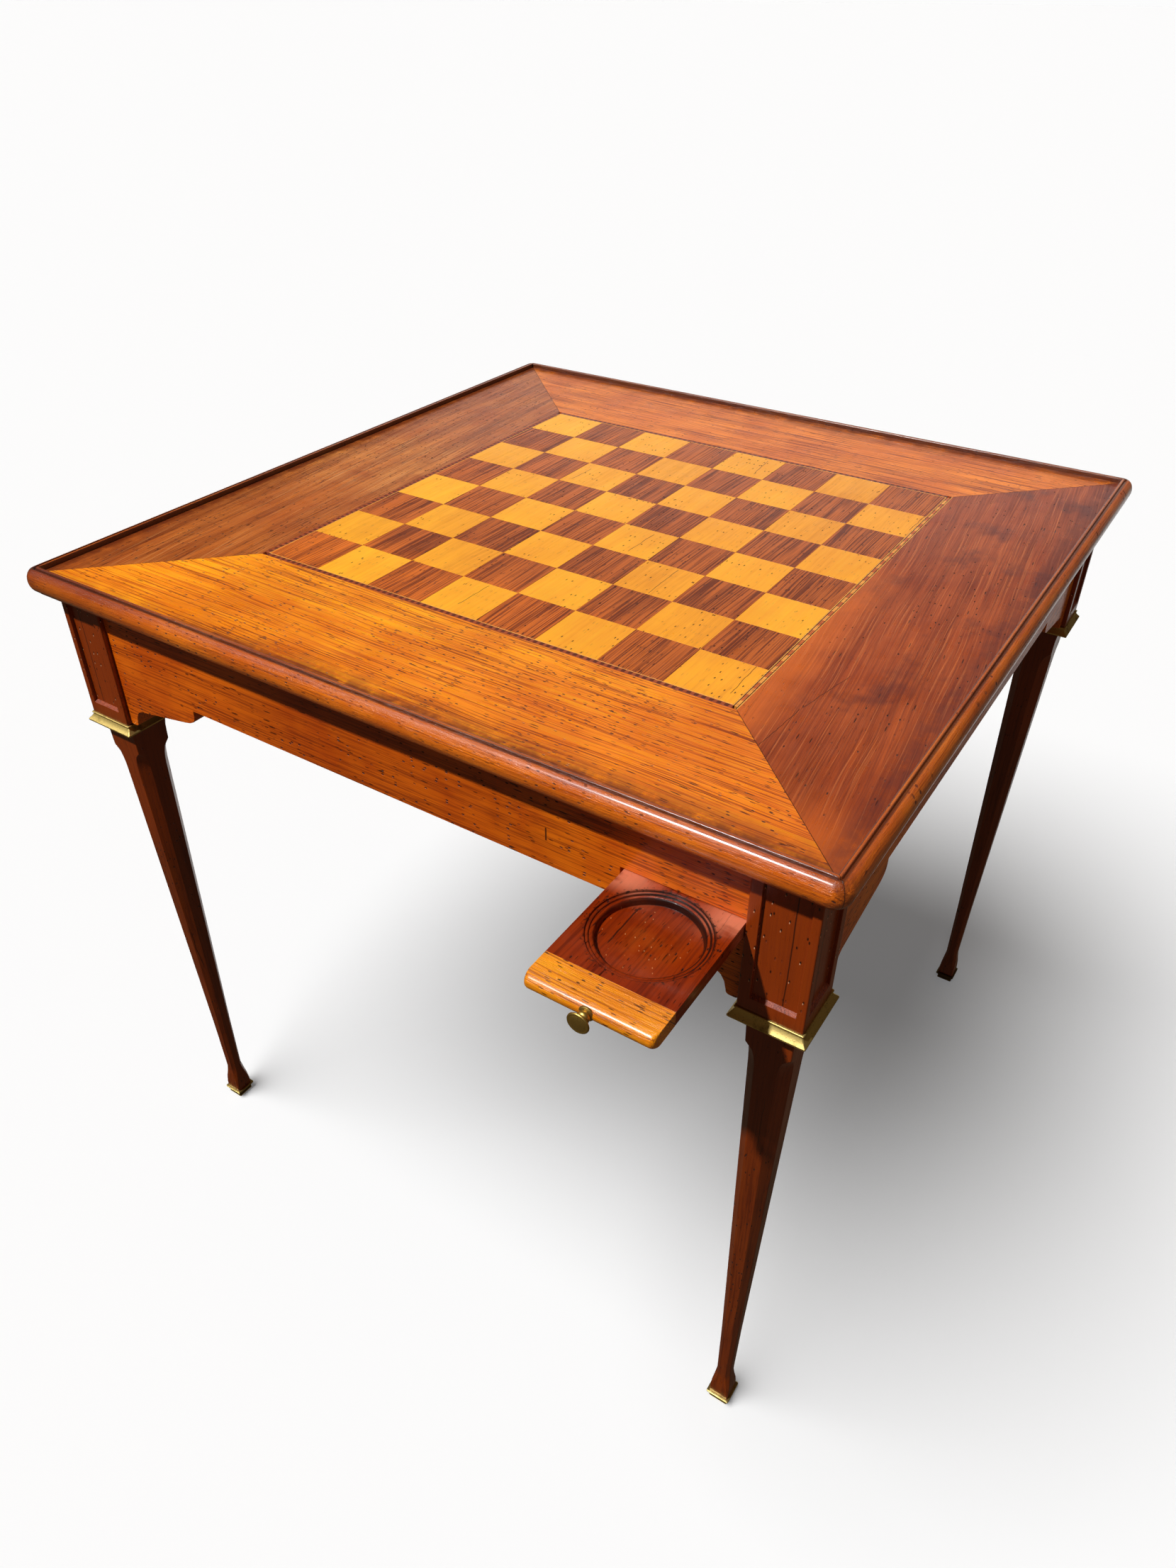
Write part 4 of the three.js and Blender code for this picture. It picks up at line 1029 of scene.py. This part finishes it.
class TABLE_OT_underside(bpy.types.Operator):
    """Make the core of the top and its baize side"""
    bl_idname = "games_table.underside"
    bl_label = "Core and baize side"

    def execute(self, context):
        settings = context.scene.games_table_carcass
        top = context.scene.games_table_top
        core = timber("oak_core", "x", tuple(settings.oak), dark=0.55, lines=0.5, coat=0.0, gloss=0.7)
        dressed(worked("top_core", "core_board", 0), core, "top", "top_core")
        panel = worked("baize_panel", "baize_cloth", settings.cloth_ease)
        dressed(panel, baize("green_baize"), "top", "baize_panel")
        shade = tuple(top.left_board)
        for side in SIDES:
            wood = timber(f"{side}_reverse_cherry", GRAIN_OF_SIDE[side], shade, dark=0.5, gloss=0.45)
            board = worked(f"reverse_border_{side}", f"{side}_reverse_board", top.ease)
            dressed(board, wood, "top", f"reverse_border_{side}")
        return {"FINISHED"}


class TABLE_OT_legs(bpy.types.Operator):
    """Make the posts and tapered legs"""
    bl_idname = "games_table.legs"
    bl_label = "Legs"

    def execute(self, context):
        settings = context.scene.games_table_carcass

        def redder_posts_and_painted_light(wood, x, y, z):
            """Redder posts, and painted light: a paler length of leg below the collars, lightening the legs
            where they lie in shade.
            """
            return z.between(582.0, 600.0) * 0.55 + z.between(400.0, 460.0) * z.between(586.0, 576.0) * 0.3

        def worm_holes(wood, x, y, z):
            """Worm holes all over the posts."""
            return wood.spots(z * 0.45, x + y * 0.8, 4.8, 0.8, 0.3) * z.between(604, 612) * 0.9

        def painted_worm_glints(wood, x, y, z):
            """Painted highlights: pale glints on the lower edges of some of them, standing for the sun's
            reflection.
            """
            return wood.spots(z * 0.45 + 0.6, x + y * 0.8 + 0.4, 4.8, 0.5, 0.2) * z.between(604, 612) * 0.85

        def panel_joint(wood, x, y, z):
            """The joint of two boards, down the middle of each post's panels."""
            across = abs(x).smaller(abs(y)) + (wood.cloud((x, y, z), 0.02) - 0.5) * 2
            return abs(across - 363.5).between(0.7, 0.25) * z.between(602, 604) * 0.8

        post = tuple(settings.post)
        # The legs' marks include painted light below the collars and painted highlights at the worm holes.
        wood = timber(
            "leg_cherry", "z", tuple(settings.leg), pitch=1.9, lines=0.42, streaks=0.3, patches=0.25,
            specks=0.6, splits=0.2, coat=0.3,
            marks=[(post, redder_posts_and_painted_light), (tint(30, 10, 6), panel_joint), (tint(24, 8, 4), worm_holes),
                   (tint(236, 178, 140), painted_worm_glints)],
        )
        ledge = timber("panel_ledge", "z", darker(post, 0.8), dark=0.5, pitch=0.9, lines=0.8, specks=0.8,
                       splits=0.0, gloss=0.5, coat=0.1, grit=0.3)
        for corner in CORNERS:
            leg = worked(f"leg_{corner}", f"{corner}_leg_timber", settings.ease)
            dressed(leg, wood, "carcass", f"leg_{corner}")
        copies = copies_round_tree()
        for number, turned in enumerate((False, True)):
            sill = self.sill(f"panel_sills_{number + 1}", settings, turned)
            copies.apply(sill, count=4, material=ledge)
            dressed(sill, ledge, "carcass", slot="leg")
        return {"FINISHED"}

    @staticmethod
    def sill(name, settings, turned):
        """The sloping ledge at the foot of a post's sunk panel."""
        inner, outer = POST_INNER + settings.inner_stile, POST_OUTER - settings.outer_stile
        back, foot = POST_OUTER - settings.panel_depth, COLLAR_HIGH.z + settings.bottom_rail
        ends = [(back, foot), (POST_OUTER, foot), (back, foot + settings.sill_rise)]
        points = [(along, -reach, height) for along in (inner, outer) for reach, height in ends]
        if turned:
            points = [(-y, -x, z) for x, y, z in points]
        faces = [[0, 1, 2], [3, 4, 5], [0, 1, 4, 3], [1, 2, 5, 4], [2, 0, 3, 5]]
        return solid(name, points, faces)


class TABLE_OT_mounts(bpy.types.Operator):
    """Make the brass collars and shoes of the legs"""
    bl_idname = "games_table.mounts"
    bl_label = "Collars and shoes"

    def execute(self, context):
        settings = context.scene.games_table_carcass
        brass = metal("collar_brass", tuple(settings.brass), tint(112, 92, 48), gloss=0.52, spotted=0.7)
        # The shoes' brass has painted shade under the lips and a painted shadow on the far right shoe.
        shoe_brass = metal("shoe_brass", tuple(settings.brass), tint(72, 50, 20), gloss=0.36, spotted=0.7,
                           painted_shade=self.painted_shoe_shade)
        copies = copies_round_tree()
        pieces = (
            ("leg_collars", "collar", self.collar_profile(), (COLLAR_LOW, COLLAR_HIGH), True,
             dict(width=settings.collar_ease), brass),
            ("leg_shoes", "sabot", self.shoe_profile(), (SABOT_LOW, SABOT_HIGH), False,
             dict(width=settings.shoe_ease, segments=1), shoe_brass),
        )
        for name, node, profile, box, looped, ease, material in pieces:
            centre = (box[0] + box[1]) / 2
            piece = square_turning(name, profile, centre, settings.brass_corner, looped)
            copies.apply(eased(piece, limit=34, **ease), count=4, material=material)
            dressed(piece, material, "carcass", *[f"{node}_{corner}" for corner in CORNERS])
        return {"FINISHED"}

    @staticmethod
    def collar_profile():
        """Bead, quirk, slightly hollow slope and lip down the outside, then straight up the inside."""
        top, bottom = COLLAR_HIGH.z, COLLAR_LOW.z
        half = (COLLAR_HIGH.x - COLLAR_LOW.x) / 2
        inside, bead, quirk = 24.1 * MM, 27.4 * MM, 26.5 * MM
        bead_half, quirk_height, lip, hollow = 0.8 * MM, 0.8 * MM, 1.3 * MM, 0.35 * MM
        slope_top, slope_steps = top - 2 * bead_half - quirk_height, 8
        run, fall = half - quirk, slope_top - bottom - lip
        profile = [(inside, top)]
        profile += arc((bead - bead_half, top - bead_half), (bead_half, bead_half), 90, -90, 8)
        profile.append((quirk, top - 2 * bead_half))
        for step in range(slope_steps + 1):
            share = step / slope_steps
            reach = quirk + run * share - hollow * math.sin(math.pi * share)
            profile.append((reach, slope_top - fall * share))
        return profile + [(half, bottom), (inside, bottom)]

    @staticmethod
    def shoe_profile():
        """Up the inside of the cup, over the two beads of its lip and down the outside to a thin sole."""
        top, bottom = SABOT_HIGH.z, SABOT_LOW.z
        lip = (SABOT_HIGH.x - SABOT_LOW.x) / 2
        inside, floor, upper, lower, sole = 7.8 * MM, 2.5 * MM, 10.5 * MM, 9.3 * MM, 9.8 * MM
        bead, groove, bead_pitch = 0.5 * MM, 1.0 * MM, 1.4 * MM
        body_foot, sole_height = 1.5 * MM, 1.0 * MM
        profile = [(inside, bottom + floor), (inside, top)]
        for drop in (bead, bead + bead_pitch):
            profile += arc((lip - bead, top - drop), (bead, bead), 90, -90, 6)
            profile.append((lip - groove, top - drop - bead))
            if drop == bead:
                profile.append((lip - groove, top - drop - bead_pitch + bead))
        profile += [(upper, top - 2 * bead - bead_pitch), (lower, bottom + body_foot)]
        return profile + [(sole, bottom + sole_height), (sole, bottom)]

    @staticmethod
    def painted_shoe_shade(brass, x, y, z):
        """Painted shade: dark brass under the lip of each shoe, and a painted shadow all over the far right
        one.
        """
        under = z.between(7.6, 7.2) * z.between(1.0, 1.5)
        far = x.between(0, 10) * y.between(0, 10) * 0.9
        return under.larger(far)


class TABLE_OT_aprons(bpy.types.Operator):
    """Make the shaped aprons"""
    bl_idname = "games_table.aprons"
    bl_label = "Aprons"

    def execute(self, context):
        settings = context.scene.games_table_carcass

        def slit(wood, x, y, z):
            """A short upright chisel mark left of the slide."""
            return abs(x - 163.3).between(0.9, 0.5) * abs(z - 669.8).between(6.4, 5.6) * 0.9

        def sun_bleach(wood, x, y, z):
            """Paler, more golden wood towards one end of each apron."""
            cloud = wood.noise(x * 0.02, y * 0.02, z * 0.05, 3)
            return x.larger(y).between(90, 190) * cloud.between(0.3, 0.5) * 0.8

        def darker_middle(wood, x, y, z):
            """Darker along the middle of each apron."""
            return abs(x).smaller(abs(y)).between(220, 120) * 0.5

        for side in SIDES:
            slits = [(tint(48, 18, 6), slit)] if side == "front" else []
            marks = [((0.6, 0.52, 0.5), darker_middle, "MULTIPLY"), ((1.12, 1.4, 1.2), sun_bleach, "MULTIPLY"),
                     *slits]
            wood = timber(
                f"{side}_apron_cherry", GRAIN_OF_SIDE[side], tuple(settings.apron), dark=0.42, pitch=1.4,
                lines=0.6, streaks=0.3, pores=1.0, patches=0.8, specks=1.0, gloss=0.36, dashes=0.8,
                marks=marks,
            )
            apron = worked(f"apron_{side}", f"{side}_apron_board", settings.ease * 0.8)
            dressed(apron, wood, "carcass", f"apron_{side}")
        return {"FINISHED"}


class TABLE_OT_well(bpy.types.Operator):
    """Make the tric trac well: floor, lining, capping, trays, bar and points"""
    bl_idname = "games_table.well"
    bl_label = "Tric trac well"

    def execute(self, context):
        settings = context.scene.games_table_carcass
        well = tuple(settings.well)
        ground = timber("well_floor_walnut", "y", darker(well, 0.55), dark=0.5, gloss=0.42)
        board = worked("well_floor", "well_floor_board", settings.cloth_ease)
        dressed(board, ground, "carcass", "well_floor")
        for side in SIDES:
            walnut = timber(f"{side}_well_walnut", GRAIN_OF_SIDE[side], well, gloss=0.38)
            for node, name in ((f"lining_{side}", "lining_board"), (f"capping_{side}", "capping_strip")):
                dressed(worked(node, f"{side}_{name}", settings.lining_ease), walnut, "carcass", node)
        strip = timber("divider_walnut", "y", well, gloss=0.36)
        dividers = {
            "partition_left": "left_partition_strip", "partition_right": "right_partition_strip",
            "bar": "middle_bar_strip",
        }
        for node, name in dividers.items():
            dressed(worked(node, name, settings.divider_ease), strip, "carcass", node)
        self.points(settings)
        return {"FINISHED"}

    @staticmethod
    def points(settings):
        """Long triangles by turns light and dark, from the front and the back of the well."""
        count = settings.point_count
        pitch = (PARTITION_INNER - BAR_HALF) / count
        half, foot = (pitch - settings.point_gap) / 2, LINING_INNER - settings.point_inset
        outline = [(-half, -foot), (half, -foot), (0.0, settings.point_length - foot)]
        row, copies = row_tree(), copies_round_tree()
        light = timber("boxwood_points", "y", tuple(settings.light_point), dark=0.6, lines=0.4, gloss=0.4)
        dark = timber("stained_points", "y", tuple(settings.dark_point), dark=0.5, lines=0.3, gloss=0.4)
        for parity, shade, material in ((0, "light", light), (1, "dark", dark)):
            point = prism(f"{shade}_point_veneers", outline, WELL_FLOOR_TOP, POINT_TOP)
            point = eased(point, settings.point_ease, segments=1)
            row.apply(point, count=2 * count, pitch=pitch, parity=parity, material=material, gap=BAR_HALF)
            copies.apply(point, count=2, material=material)
            dressed(point, material, "carcass", f"{shade}_points")


class TABLE_OT_runners(bpy.types.Operator):
    """Make the runners that carry the slides"""
    bl_idname = "games_table.runners"
    bl_label = "Runners"

    def execute(self, context):
        settings = context.scene.games_table_carcass
        oak = timber("runner_oak", "y", tuple(settings.oak), dark=0.5, coat=0.0, gloss=0.7)
        for side in ("front", "back"):
            for place in ("outer", "inner"):
                node = f"{side}_runner_{place}"
                dressed(worked(node, f"{node}_oak", settings.ease), oak, "carcass", node)
        return {"FINISHED"}


class TABLE_OT_slides(bpy.types.Operator):
    """Make the two candle slides with their clamps, knobs and pegs"""
    bl_idname = "games_table.slides"
    bl_label = "Candle slides"

    def execute(self, context):
        settings, carcass = context.scene.games_table_slide, context.scene.games_table_carcass
        # The slide's marks include painted light in the dish, a painted reflection beside the apron and
        # painted shade in the dish's grooves.
        wood = timber(
            "slide_cherry", "y", tuple(settings.wood), dark=0.42, pitch=2.4, lines=0.4, streaks=0.5,
            pores=0.8, patches=0.7, specks=0.6, splits=0.2, gloss=0.36, coat=0.12, dashes=0.35, shine=0.3,
            marks=[(tint(206, 104, 36), self.dish_painted_light(settings)), (tint(226, 132, 96), self.painted_apron_reflection),
                   (tint(30, 12, 8), self.ring_shade_and_wear(settings)), (tint(36, 14, 8), self.dish_crack),
                   (tint(244, 176, 116), self.flecks)],
        )
        gold = timber(
            "clamp_cherry", "x", tuple(settings.clamp), dark=0.36, pitch=1.5, lines=0.6, streaks=0.3,
            pores=1.0, patches=0.45, specks=0.6, lift=1.3, splits=0.0, coat=0.7, coat_gloss=0.24, grit=0.3,
            dents=1.2, dashes=0.6,
        )
        brass = metal("knob_brass", tuple(settings.knob), tint(84, 68, 36), gloss=0.44, spotted=0.6)
        oak = timber("peg_oak", "z", tuple(carcass.oak), coat=0.0, gloss=0.7)
        made = {
            "body": (self.body(settings), wood),
            "clamp": (self.clamp(settings), gold),
            "knob": (self.knob(settings), brass),
            "stop_peg": (self.peg(carcass), oak),
        }
        for kind, (piece, material) in made.items():
            twin = half_turned(piece, piece.name.replace("front", "back"))
            dressed(piece, material, "front_slide", f"front_slide_{kind}")
            dressed(twin, material, "back_slide", f"back_slide_{kind}")
        return {"FINISHED"}

    @staticmethod
    def peg(carcass):
        """The peg that stops the slide at the apron."""
        return worked("front_slide_stop_peg", "front_slide_stop_peg_oak", carcass.lining_ease)

    @staticmethod
    def from_dish(settings, x, y):
        """How far a place is across, away and in all from the middle of the nearer dish."""
        across = x * y.sign() + SLIDE_CENTRE / MM
        away = abs(y) + (CLAMP_BACK + settings.dish_setback) / MM
        return across, away, (across * across + away * away).root()

    def ring_shade_and_wear(self, settings):
        """Painted shade in the grooves round the dish, faint at its near right side, and the worn wood beside
        them.
        """
        radius, ring = settings.dish_radius / MM, settings.ring_width / MM

        def mark(wood, x, y, z):
            across, away, reach = self.from_dish(settings, x, y)
            past = reach - radius
            grooves = abs(past).between(1.3, 0.5) + abs(past + ring).between(1.1, 0.4)
            grooves = grooves + abs(past + 2 * ring + 0.8).between(1.6, 0.7)
            grooves = grooves * ((across + away).between(46, -30) * 0.65 + 0.35)
            # Painted shade: the grooves are darker where they lie deeper.
            sunk = z.between(SLIDE_TOP / MM - 0.4, SLIDE_TOP / MM - 1.2) * 0.4 + 0.6
            wear_and_highlight = abs(past - 1.4).between(2.2, 0.8) * wood.cloud((x, y, z), 0.4, 3).between(0.54, 0.62)
            return (grooves.smaller(1.0) * sunk + wear_and_highlight * 0.8).smaller(1.0) * 0.95
        return mark

    def dish_painted_light(self, settings):
        """Painted light: a paler, orange-lit middle of each dish."""
        def mark(wood, x, y, z):
            cloud = wood.noise(x * 0.05, y * 0.03, z, 4, 0.65)
            reach = self.from_dish(settings, x, y)[2]
            return reach.between(36.0, 8.0) * cloud.between(0.4, 0.62) * 0.16
        return mark

    @staticmethod
    def flecks(wood, x, y, z):
        """Small pale flecks in each dish."""
        worn = wood.noise(x * 0.05, y * 0.05, 81.0).between(0.46, 0.58)
        fleck = wood.spots(x * 0.8 + y * 0.3, y * 0.5, 3.4, 0.36, 0.3)
        return fleck * worn * z.between(SLIDE_TOP / MM - 5, SLIDE_TOP / MM - 6) * 0.5

    @staticmethod
    def painted_apron_reflection(wood, x, y, z):
        """Painted reflection: paler, greyer wood beside the apron, standing for the lit apron's sheen in the
        varnish.
        """
        cloud = wood.noise(x * 0.03, y * 0.06, z, 3)
        across = abs(x * y.sign() + SLIDE_CENTRE / MM)
        return across.between(8, 40) * abs(y).between(406, 386) * cloud.between(0.3, 0.5) * 0.75

    @staticmethod
    def dish_crack(wood, x, y, z):
        """A fine crack along the grain across the left of each dish."""
        wander = (wood.noise(y * 0.06, 3.0, 7.0) - 0.5) * 3
        line = abs(x * y.sign() + 257.6 + wander).between(0.8, 0.35)
        return line * abs(abs(y) - 420.0).between(23.0, 19.0) * 0.9

    @staticmethod
    def body(settings):
        """A board whose top face is open round a stepped, dished hollow."""
        steps, wall_steps = settings.dish_steps, 4
        middle = CLAMP_BACK + settings.dish_setback
        radius, ring, wall = settings.dish_radius, settings.ring_width, settings.wall_run
        foot, upper, lower = radius - 2 * ring - wall, settings.ring_depth * 0.55, settings.ring_depth
        levels = [(radius, 0.0), (radius, upper), (radius - ring, upper), (radius - ring, lower),
                  (radius - 2 * ring, lower)]
        for step in range(1, wall_steps + 1):
            angle = QUARTER * step / wall_steps
            drop = lower + (settings.dish_depth - lower) * (1 - math.cos(angle))
            levels.append((foot + wall * (1 - math.sin(angle)), drop))
        for share in (0.8, 0.6, 0.4, 0.2):
            levels.append((foot * share, settings.dish_depth - settings.dish_crown * (1 - share * share)))
        corners = [(SLIDE_RIGHT, CLAMP_BACK), (SLIDE_RIGHT, SLIDE_BACK), (SLIDE_LEFT, SLIDE_BACK),
                   (SLIDE_LEFT, CLAMP_BACK)]
        points = [(x, y, z) for z in (SLIDE_TOP, SLIDE_BOTTOM) for x, y in corners]
        faces = [[4, 5, 6, 7]] + band(0, 4, 4)
        start = len(points)
        for reach, drop in levels:
            for step in range(steps):
                angle = 2 * math.pi * (step / steps - 1 / 8)
                x, y = SLIDE_CENTRE + reach * math.cos(angle), middle + reach * math.sin(angle)
                points.append((x, y, SLIDE_TOP - drop))
        for side in range(4):
            round_dish = [start + (side * steps // 4 + step) % steps for step in range(steps // 4 + 1)]
            faces.append([side, (side + 1) % 4] + round_dish[::-1])
        centre = len(points)
        last = centre - steps
        for inner_ring in range(start, last, steps):
            faces += band(inner_ring, inner_ring + steps, steps)
        points.append((SLIDE_CENTRE, middle, SLIDE_TOP - settings.dish_depth + settings.dish_crown))
        faces += [[last + i, last + (i + 1) % steps, centre] for i in range(steps)]
        return eased(solid("front_slide_board", points, faces), settings.ease * 0.6, limit=50)

    @staticmethod
    def clamp(settings):
        """A bar with a half-round nose and corners rounded in plan."""
        nose = (SLIDE_TOP - SLIDE_BOTTOM) / 2
        profile = [(CLAMP_BACK, SLIDE_BOTTOM), (CLAMP_BACK, SLIDE_TOP)]
        profile += arc((CLAMP_FRONT + nose, SLIDE_MIDDLE), (nose, nose), 90, 270, 20)
        radius = settings.corner_radius
        corner = arc((radius, radius), (-radius, -radius), 0, 90, 8)
        rows = [(SLIDE_LEFT, SLIDE_LEFT + inset, setback) for inset, setback in corner]
        rows += [(SLIDE_RIGHT, SLIDE_RIGHT - inset, setback) for inset, setback in corner[::-1]]
        rings = []
        for end, x, setback in rows:
            rings.append([(end, y, z) if y == CLAMP_BACK else (x, y + setback, z) for y, z in profile])
        return eased(lofted("front_slide_clamp_bar", rings), settings.ease * 0.6, limit=50)

    @staticmethod
    def knob(settings):
        """Rose, neck ring, waist and flat head, turned about the slide's middle line."""
        seat = CLAMP_FRONT + settings.knob_seat
        reach, head = seat - KNOB_FRONT, KNOB_RADIUS
        rose, neck, ball = settings.rose_radius, settings.neck_radius, settings.ball_radius
        shank, tail, start = settings.shank_radius, -settings.shank_length, reach - settings.head_thickness
        waist = [(neck, -1.2), (neck + 0.8 * MM, -0.4), (head * 0.7, 0.0)]
        edge = [(head - 0.6 * MM, 0.5), (head, 1.1), (head, 1.7), (head - 0.5 * MM, 2.3)]
        face = [(head * 0.86, 2.5), (head * 0.8, 2.3), (head * 0.72, 2.6), (head * 0.4, 3.2)]
        profile = [
            (0.0, tail), (shank, tail), (shank, 0.0),
            (rose, 0.0), (rose, 1.0 * MM), (rose - 0.5 * MM, 1.5 * MM),
            *arc((neck, 4.3 * MM), (ball - neck, 2.3 * MM), -80, 80, 10),
            *((radius, start + rise * MM) for radius, rise in waist + edge + face), (0.0, reach),
        ]
        knob = turning("front_slide_knob_turned", profile, 48,
                       lambda a, b, along: (SLIDE_CENTRE + a, seat - along, SLIDE_MIDDLE + b))
        knob.data.shade_smooth()
        knob.data.set_sharp_from_angle(angle=math.radians(40))
        return knob


class TABLE_OT_stage(bpy.types.Operator):
    """Set up the floor, the backdrop, the lights and the camera"""
    bl_idname = "games_table.stage"
    bl_label = "Stage"

    def execute(self, context):
        settings = context.scene.games_table_stage
        scene = context.scene
        floor = self.floor(settings)
        self.backdrop(settings)
        self.lights(scene, settings, floor)
        self.camera(scene, settings)
        scene.view_settings.view_transform = "Standard"
        return {"FINISHED"}

    @staticmethod
    def staged(name, bm, material):
        mesh = bpy.data.meshes.new(name)
        bm.to_mesh(mesh)
        bm.free()
        mesh.materials.append(material)
        piece = linked(name, mesh)
        piece.visible_diffuse = False
        piece.visible_glossy = False
        return piece

    def floor(self, settings):
        """A wide pale disc that gives a little light of its own."""
        bm = bmesh.new()
        bmesh.ops.create_circle(bm, cap_ends=True, segments=96, radius=settings.floor_reach)
        paper = Finish("pale_floor").surface("ShaderNodeBsdfPrincipled", {
            "Base Color": (*settings.floor, 1), "Roughness": 1.0, "Specular IOR Level": 0.0,
            "Emission Color": (*settings.floor_tint, 1), "Emission Strength": settings.floor_glow,
        })
        return self.staged("floor", bm, paper)

    def backdrop(self, settings):
        """A plain pale dome far round the table, seen by the camera alone."""
        bm = bmesh.new()
        radius = settings.floor_reach * settings.backdrop_share
        bmesh.ops.create_uvsphere(bm, u_segments=64, v_segments=32, radius=radius)
        bmesh.ops.reverse_faces(bm, faces=bm.faces)
        sockets = {"Color": (1, 1, 1, 1), "Strength": settings.backdrop}
        sky = Finish("pale_backdrop").surface("ShaderNodeEmission", sockets)
        self.staged("backdrop", bm, sky).visible_shadow = False

    @staticmethod
    def lights(scene, settings, floor):
        """The floor has a light of its own, whose soft shadow lies under the table."""
        soft = settings.back_softness
        suns = {
            "key_light": (settings.key_strength, settings.key_softness, settings.key_path),
            "back_light": (settings.back_strength, soft, settings.back_path),
            "side_light": (settings.side_strength, soft, settings.side_path),
            "sheen_light": (settings.sheen_strength, soft, settings.sheen_path),
            "floor_light": (settings.floor_strength, settings.floor_softness, settings.floor_path),
        }
        for name, (strength, softness, path) in suns.items():
            data = bpy.data.lights.new(name, "SUN")
            data.energy, data.angle = strength, softness
            light = linked(name, data)
            light.rotation_mode = "QUATERNION"
            light.rotation_quaternion = Vector(path).to_track_quat("-Z", "Y")
            light.visible_glossy = name in ("key_light", "sheen_light")
            light.visible_diffuse = name != "sheen_light"
            lit = bpy.data.collections.new(f"{name}_floor")
            lit.objects.link(floor)
            state = "INCLUDE" if name == "floor_light" else "EXCLUDE"
            lit.collection_objects[0].light_linking.link_state = state
            light.light_linking.receiver_collection = lit
        world = bpy.data.worlds.new("studio")
        world.use_nodes = True
        background = world.node_tree.nodes["Background"]
        background.inputs["Color"].default_value = (*settings.fill_colour, 1)
        background.inputs["Strength"].default_value = settings.fill
        scene.world = world

    @staticmethod
    def camera(scene, settings):
        data = bpy.data.cameras.new("camera")
        data.sensor_width = FILM_WIDTH
        data.lens = settings.lens
        data.clip_start, data.clip_end = VIEW_START, VIEW_END
        camera = linked("camera", data)
        camera.location = settings.camera
        camera.rotation_mode = "QUATERNION"
        level = Vector(settings.aim).to_track_quat("-Z", "Y").to_matrix()
        camera.rotation_quaternion = (level @ Matrix.Rotation(settings.roll, 3, "Z")).to_quaternion()
        scene.camera = camera


OPERATORS = (
    TABLE_OT_squares, TABLE_OT_stringing, TABLE_OT_borders, TABLE_OT_rim, TABLE_OT_underside, TABLE_OT_legs,
    TABLE_OT_mounts, TABLE_OT_aprons, TABLE_OT_well, TABLE_OT_runners, TABLE_OT_slides, TABLE_OT_stage,
)
SETTINGS = {
    "games_table_top": TopSettings,
    "games_table_carcass": CarcassSettings,
    "games_table_slide": SlideSettings,
    "games_table_stage": StageSettings,
}


class TABLE_PT_panel(bpy.types.Panel):
    """Settings and steps of the games table"""
    bl_idname = "TABLE_PT_panel"
    bl_label = "Games table"
    bl_space_type = "VIEW_3D"
    bl_region_type = "UI"
    bl_category = "Games table"

    def draw(self, context):
        for operator in OPERATORS:
            self.layout.operator(operator.bl_idname)
        for label, group in SETTINGS.items():
            box = self.layout.box()
            for name in group.__annotations__:
                box.prop(getattr(context.scene, label), name)


def register():
    for kind in (*SETTINGS.values(), *OPERATORS, TABLE_PT_panel):
        bpy.utils.register_class(kind)
    for label, group in SETTINGS.items():
        setattr(bpy.types.Scene, label, PointerProperty(type=group))


def unregister():
    for label in SETTINGS:
        delattr(bpy.types.Scene, label)
    for kind in (TABLE_PT_panel, *reversed(OPERATORS), *reversed(SETTINGS.values())):
        bpy.utils.unregister_class(kind)


def main():
    register()
    for operator in OPERATORS:
        group, action = operator.bl_idname.split(".")
        getattr(getattr(bpy.ops, group), action)()


if __name__ == "__main__":
    main()
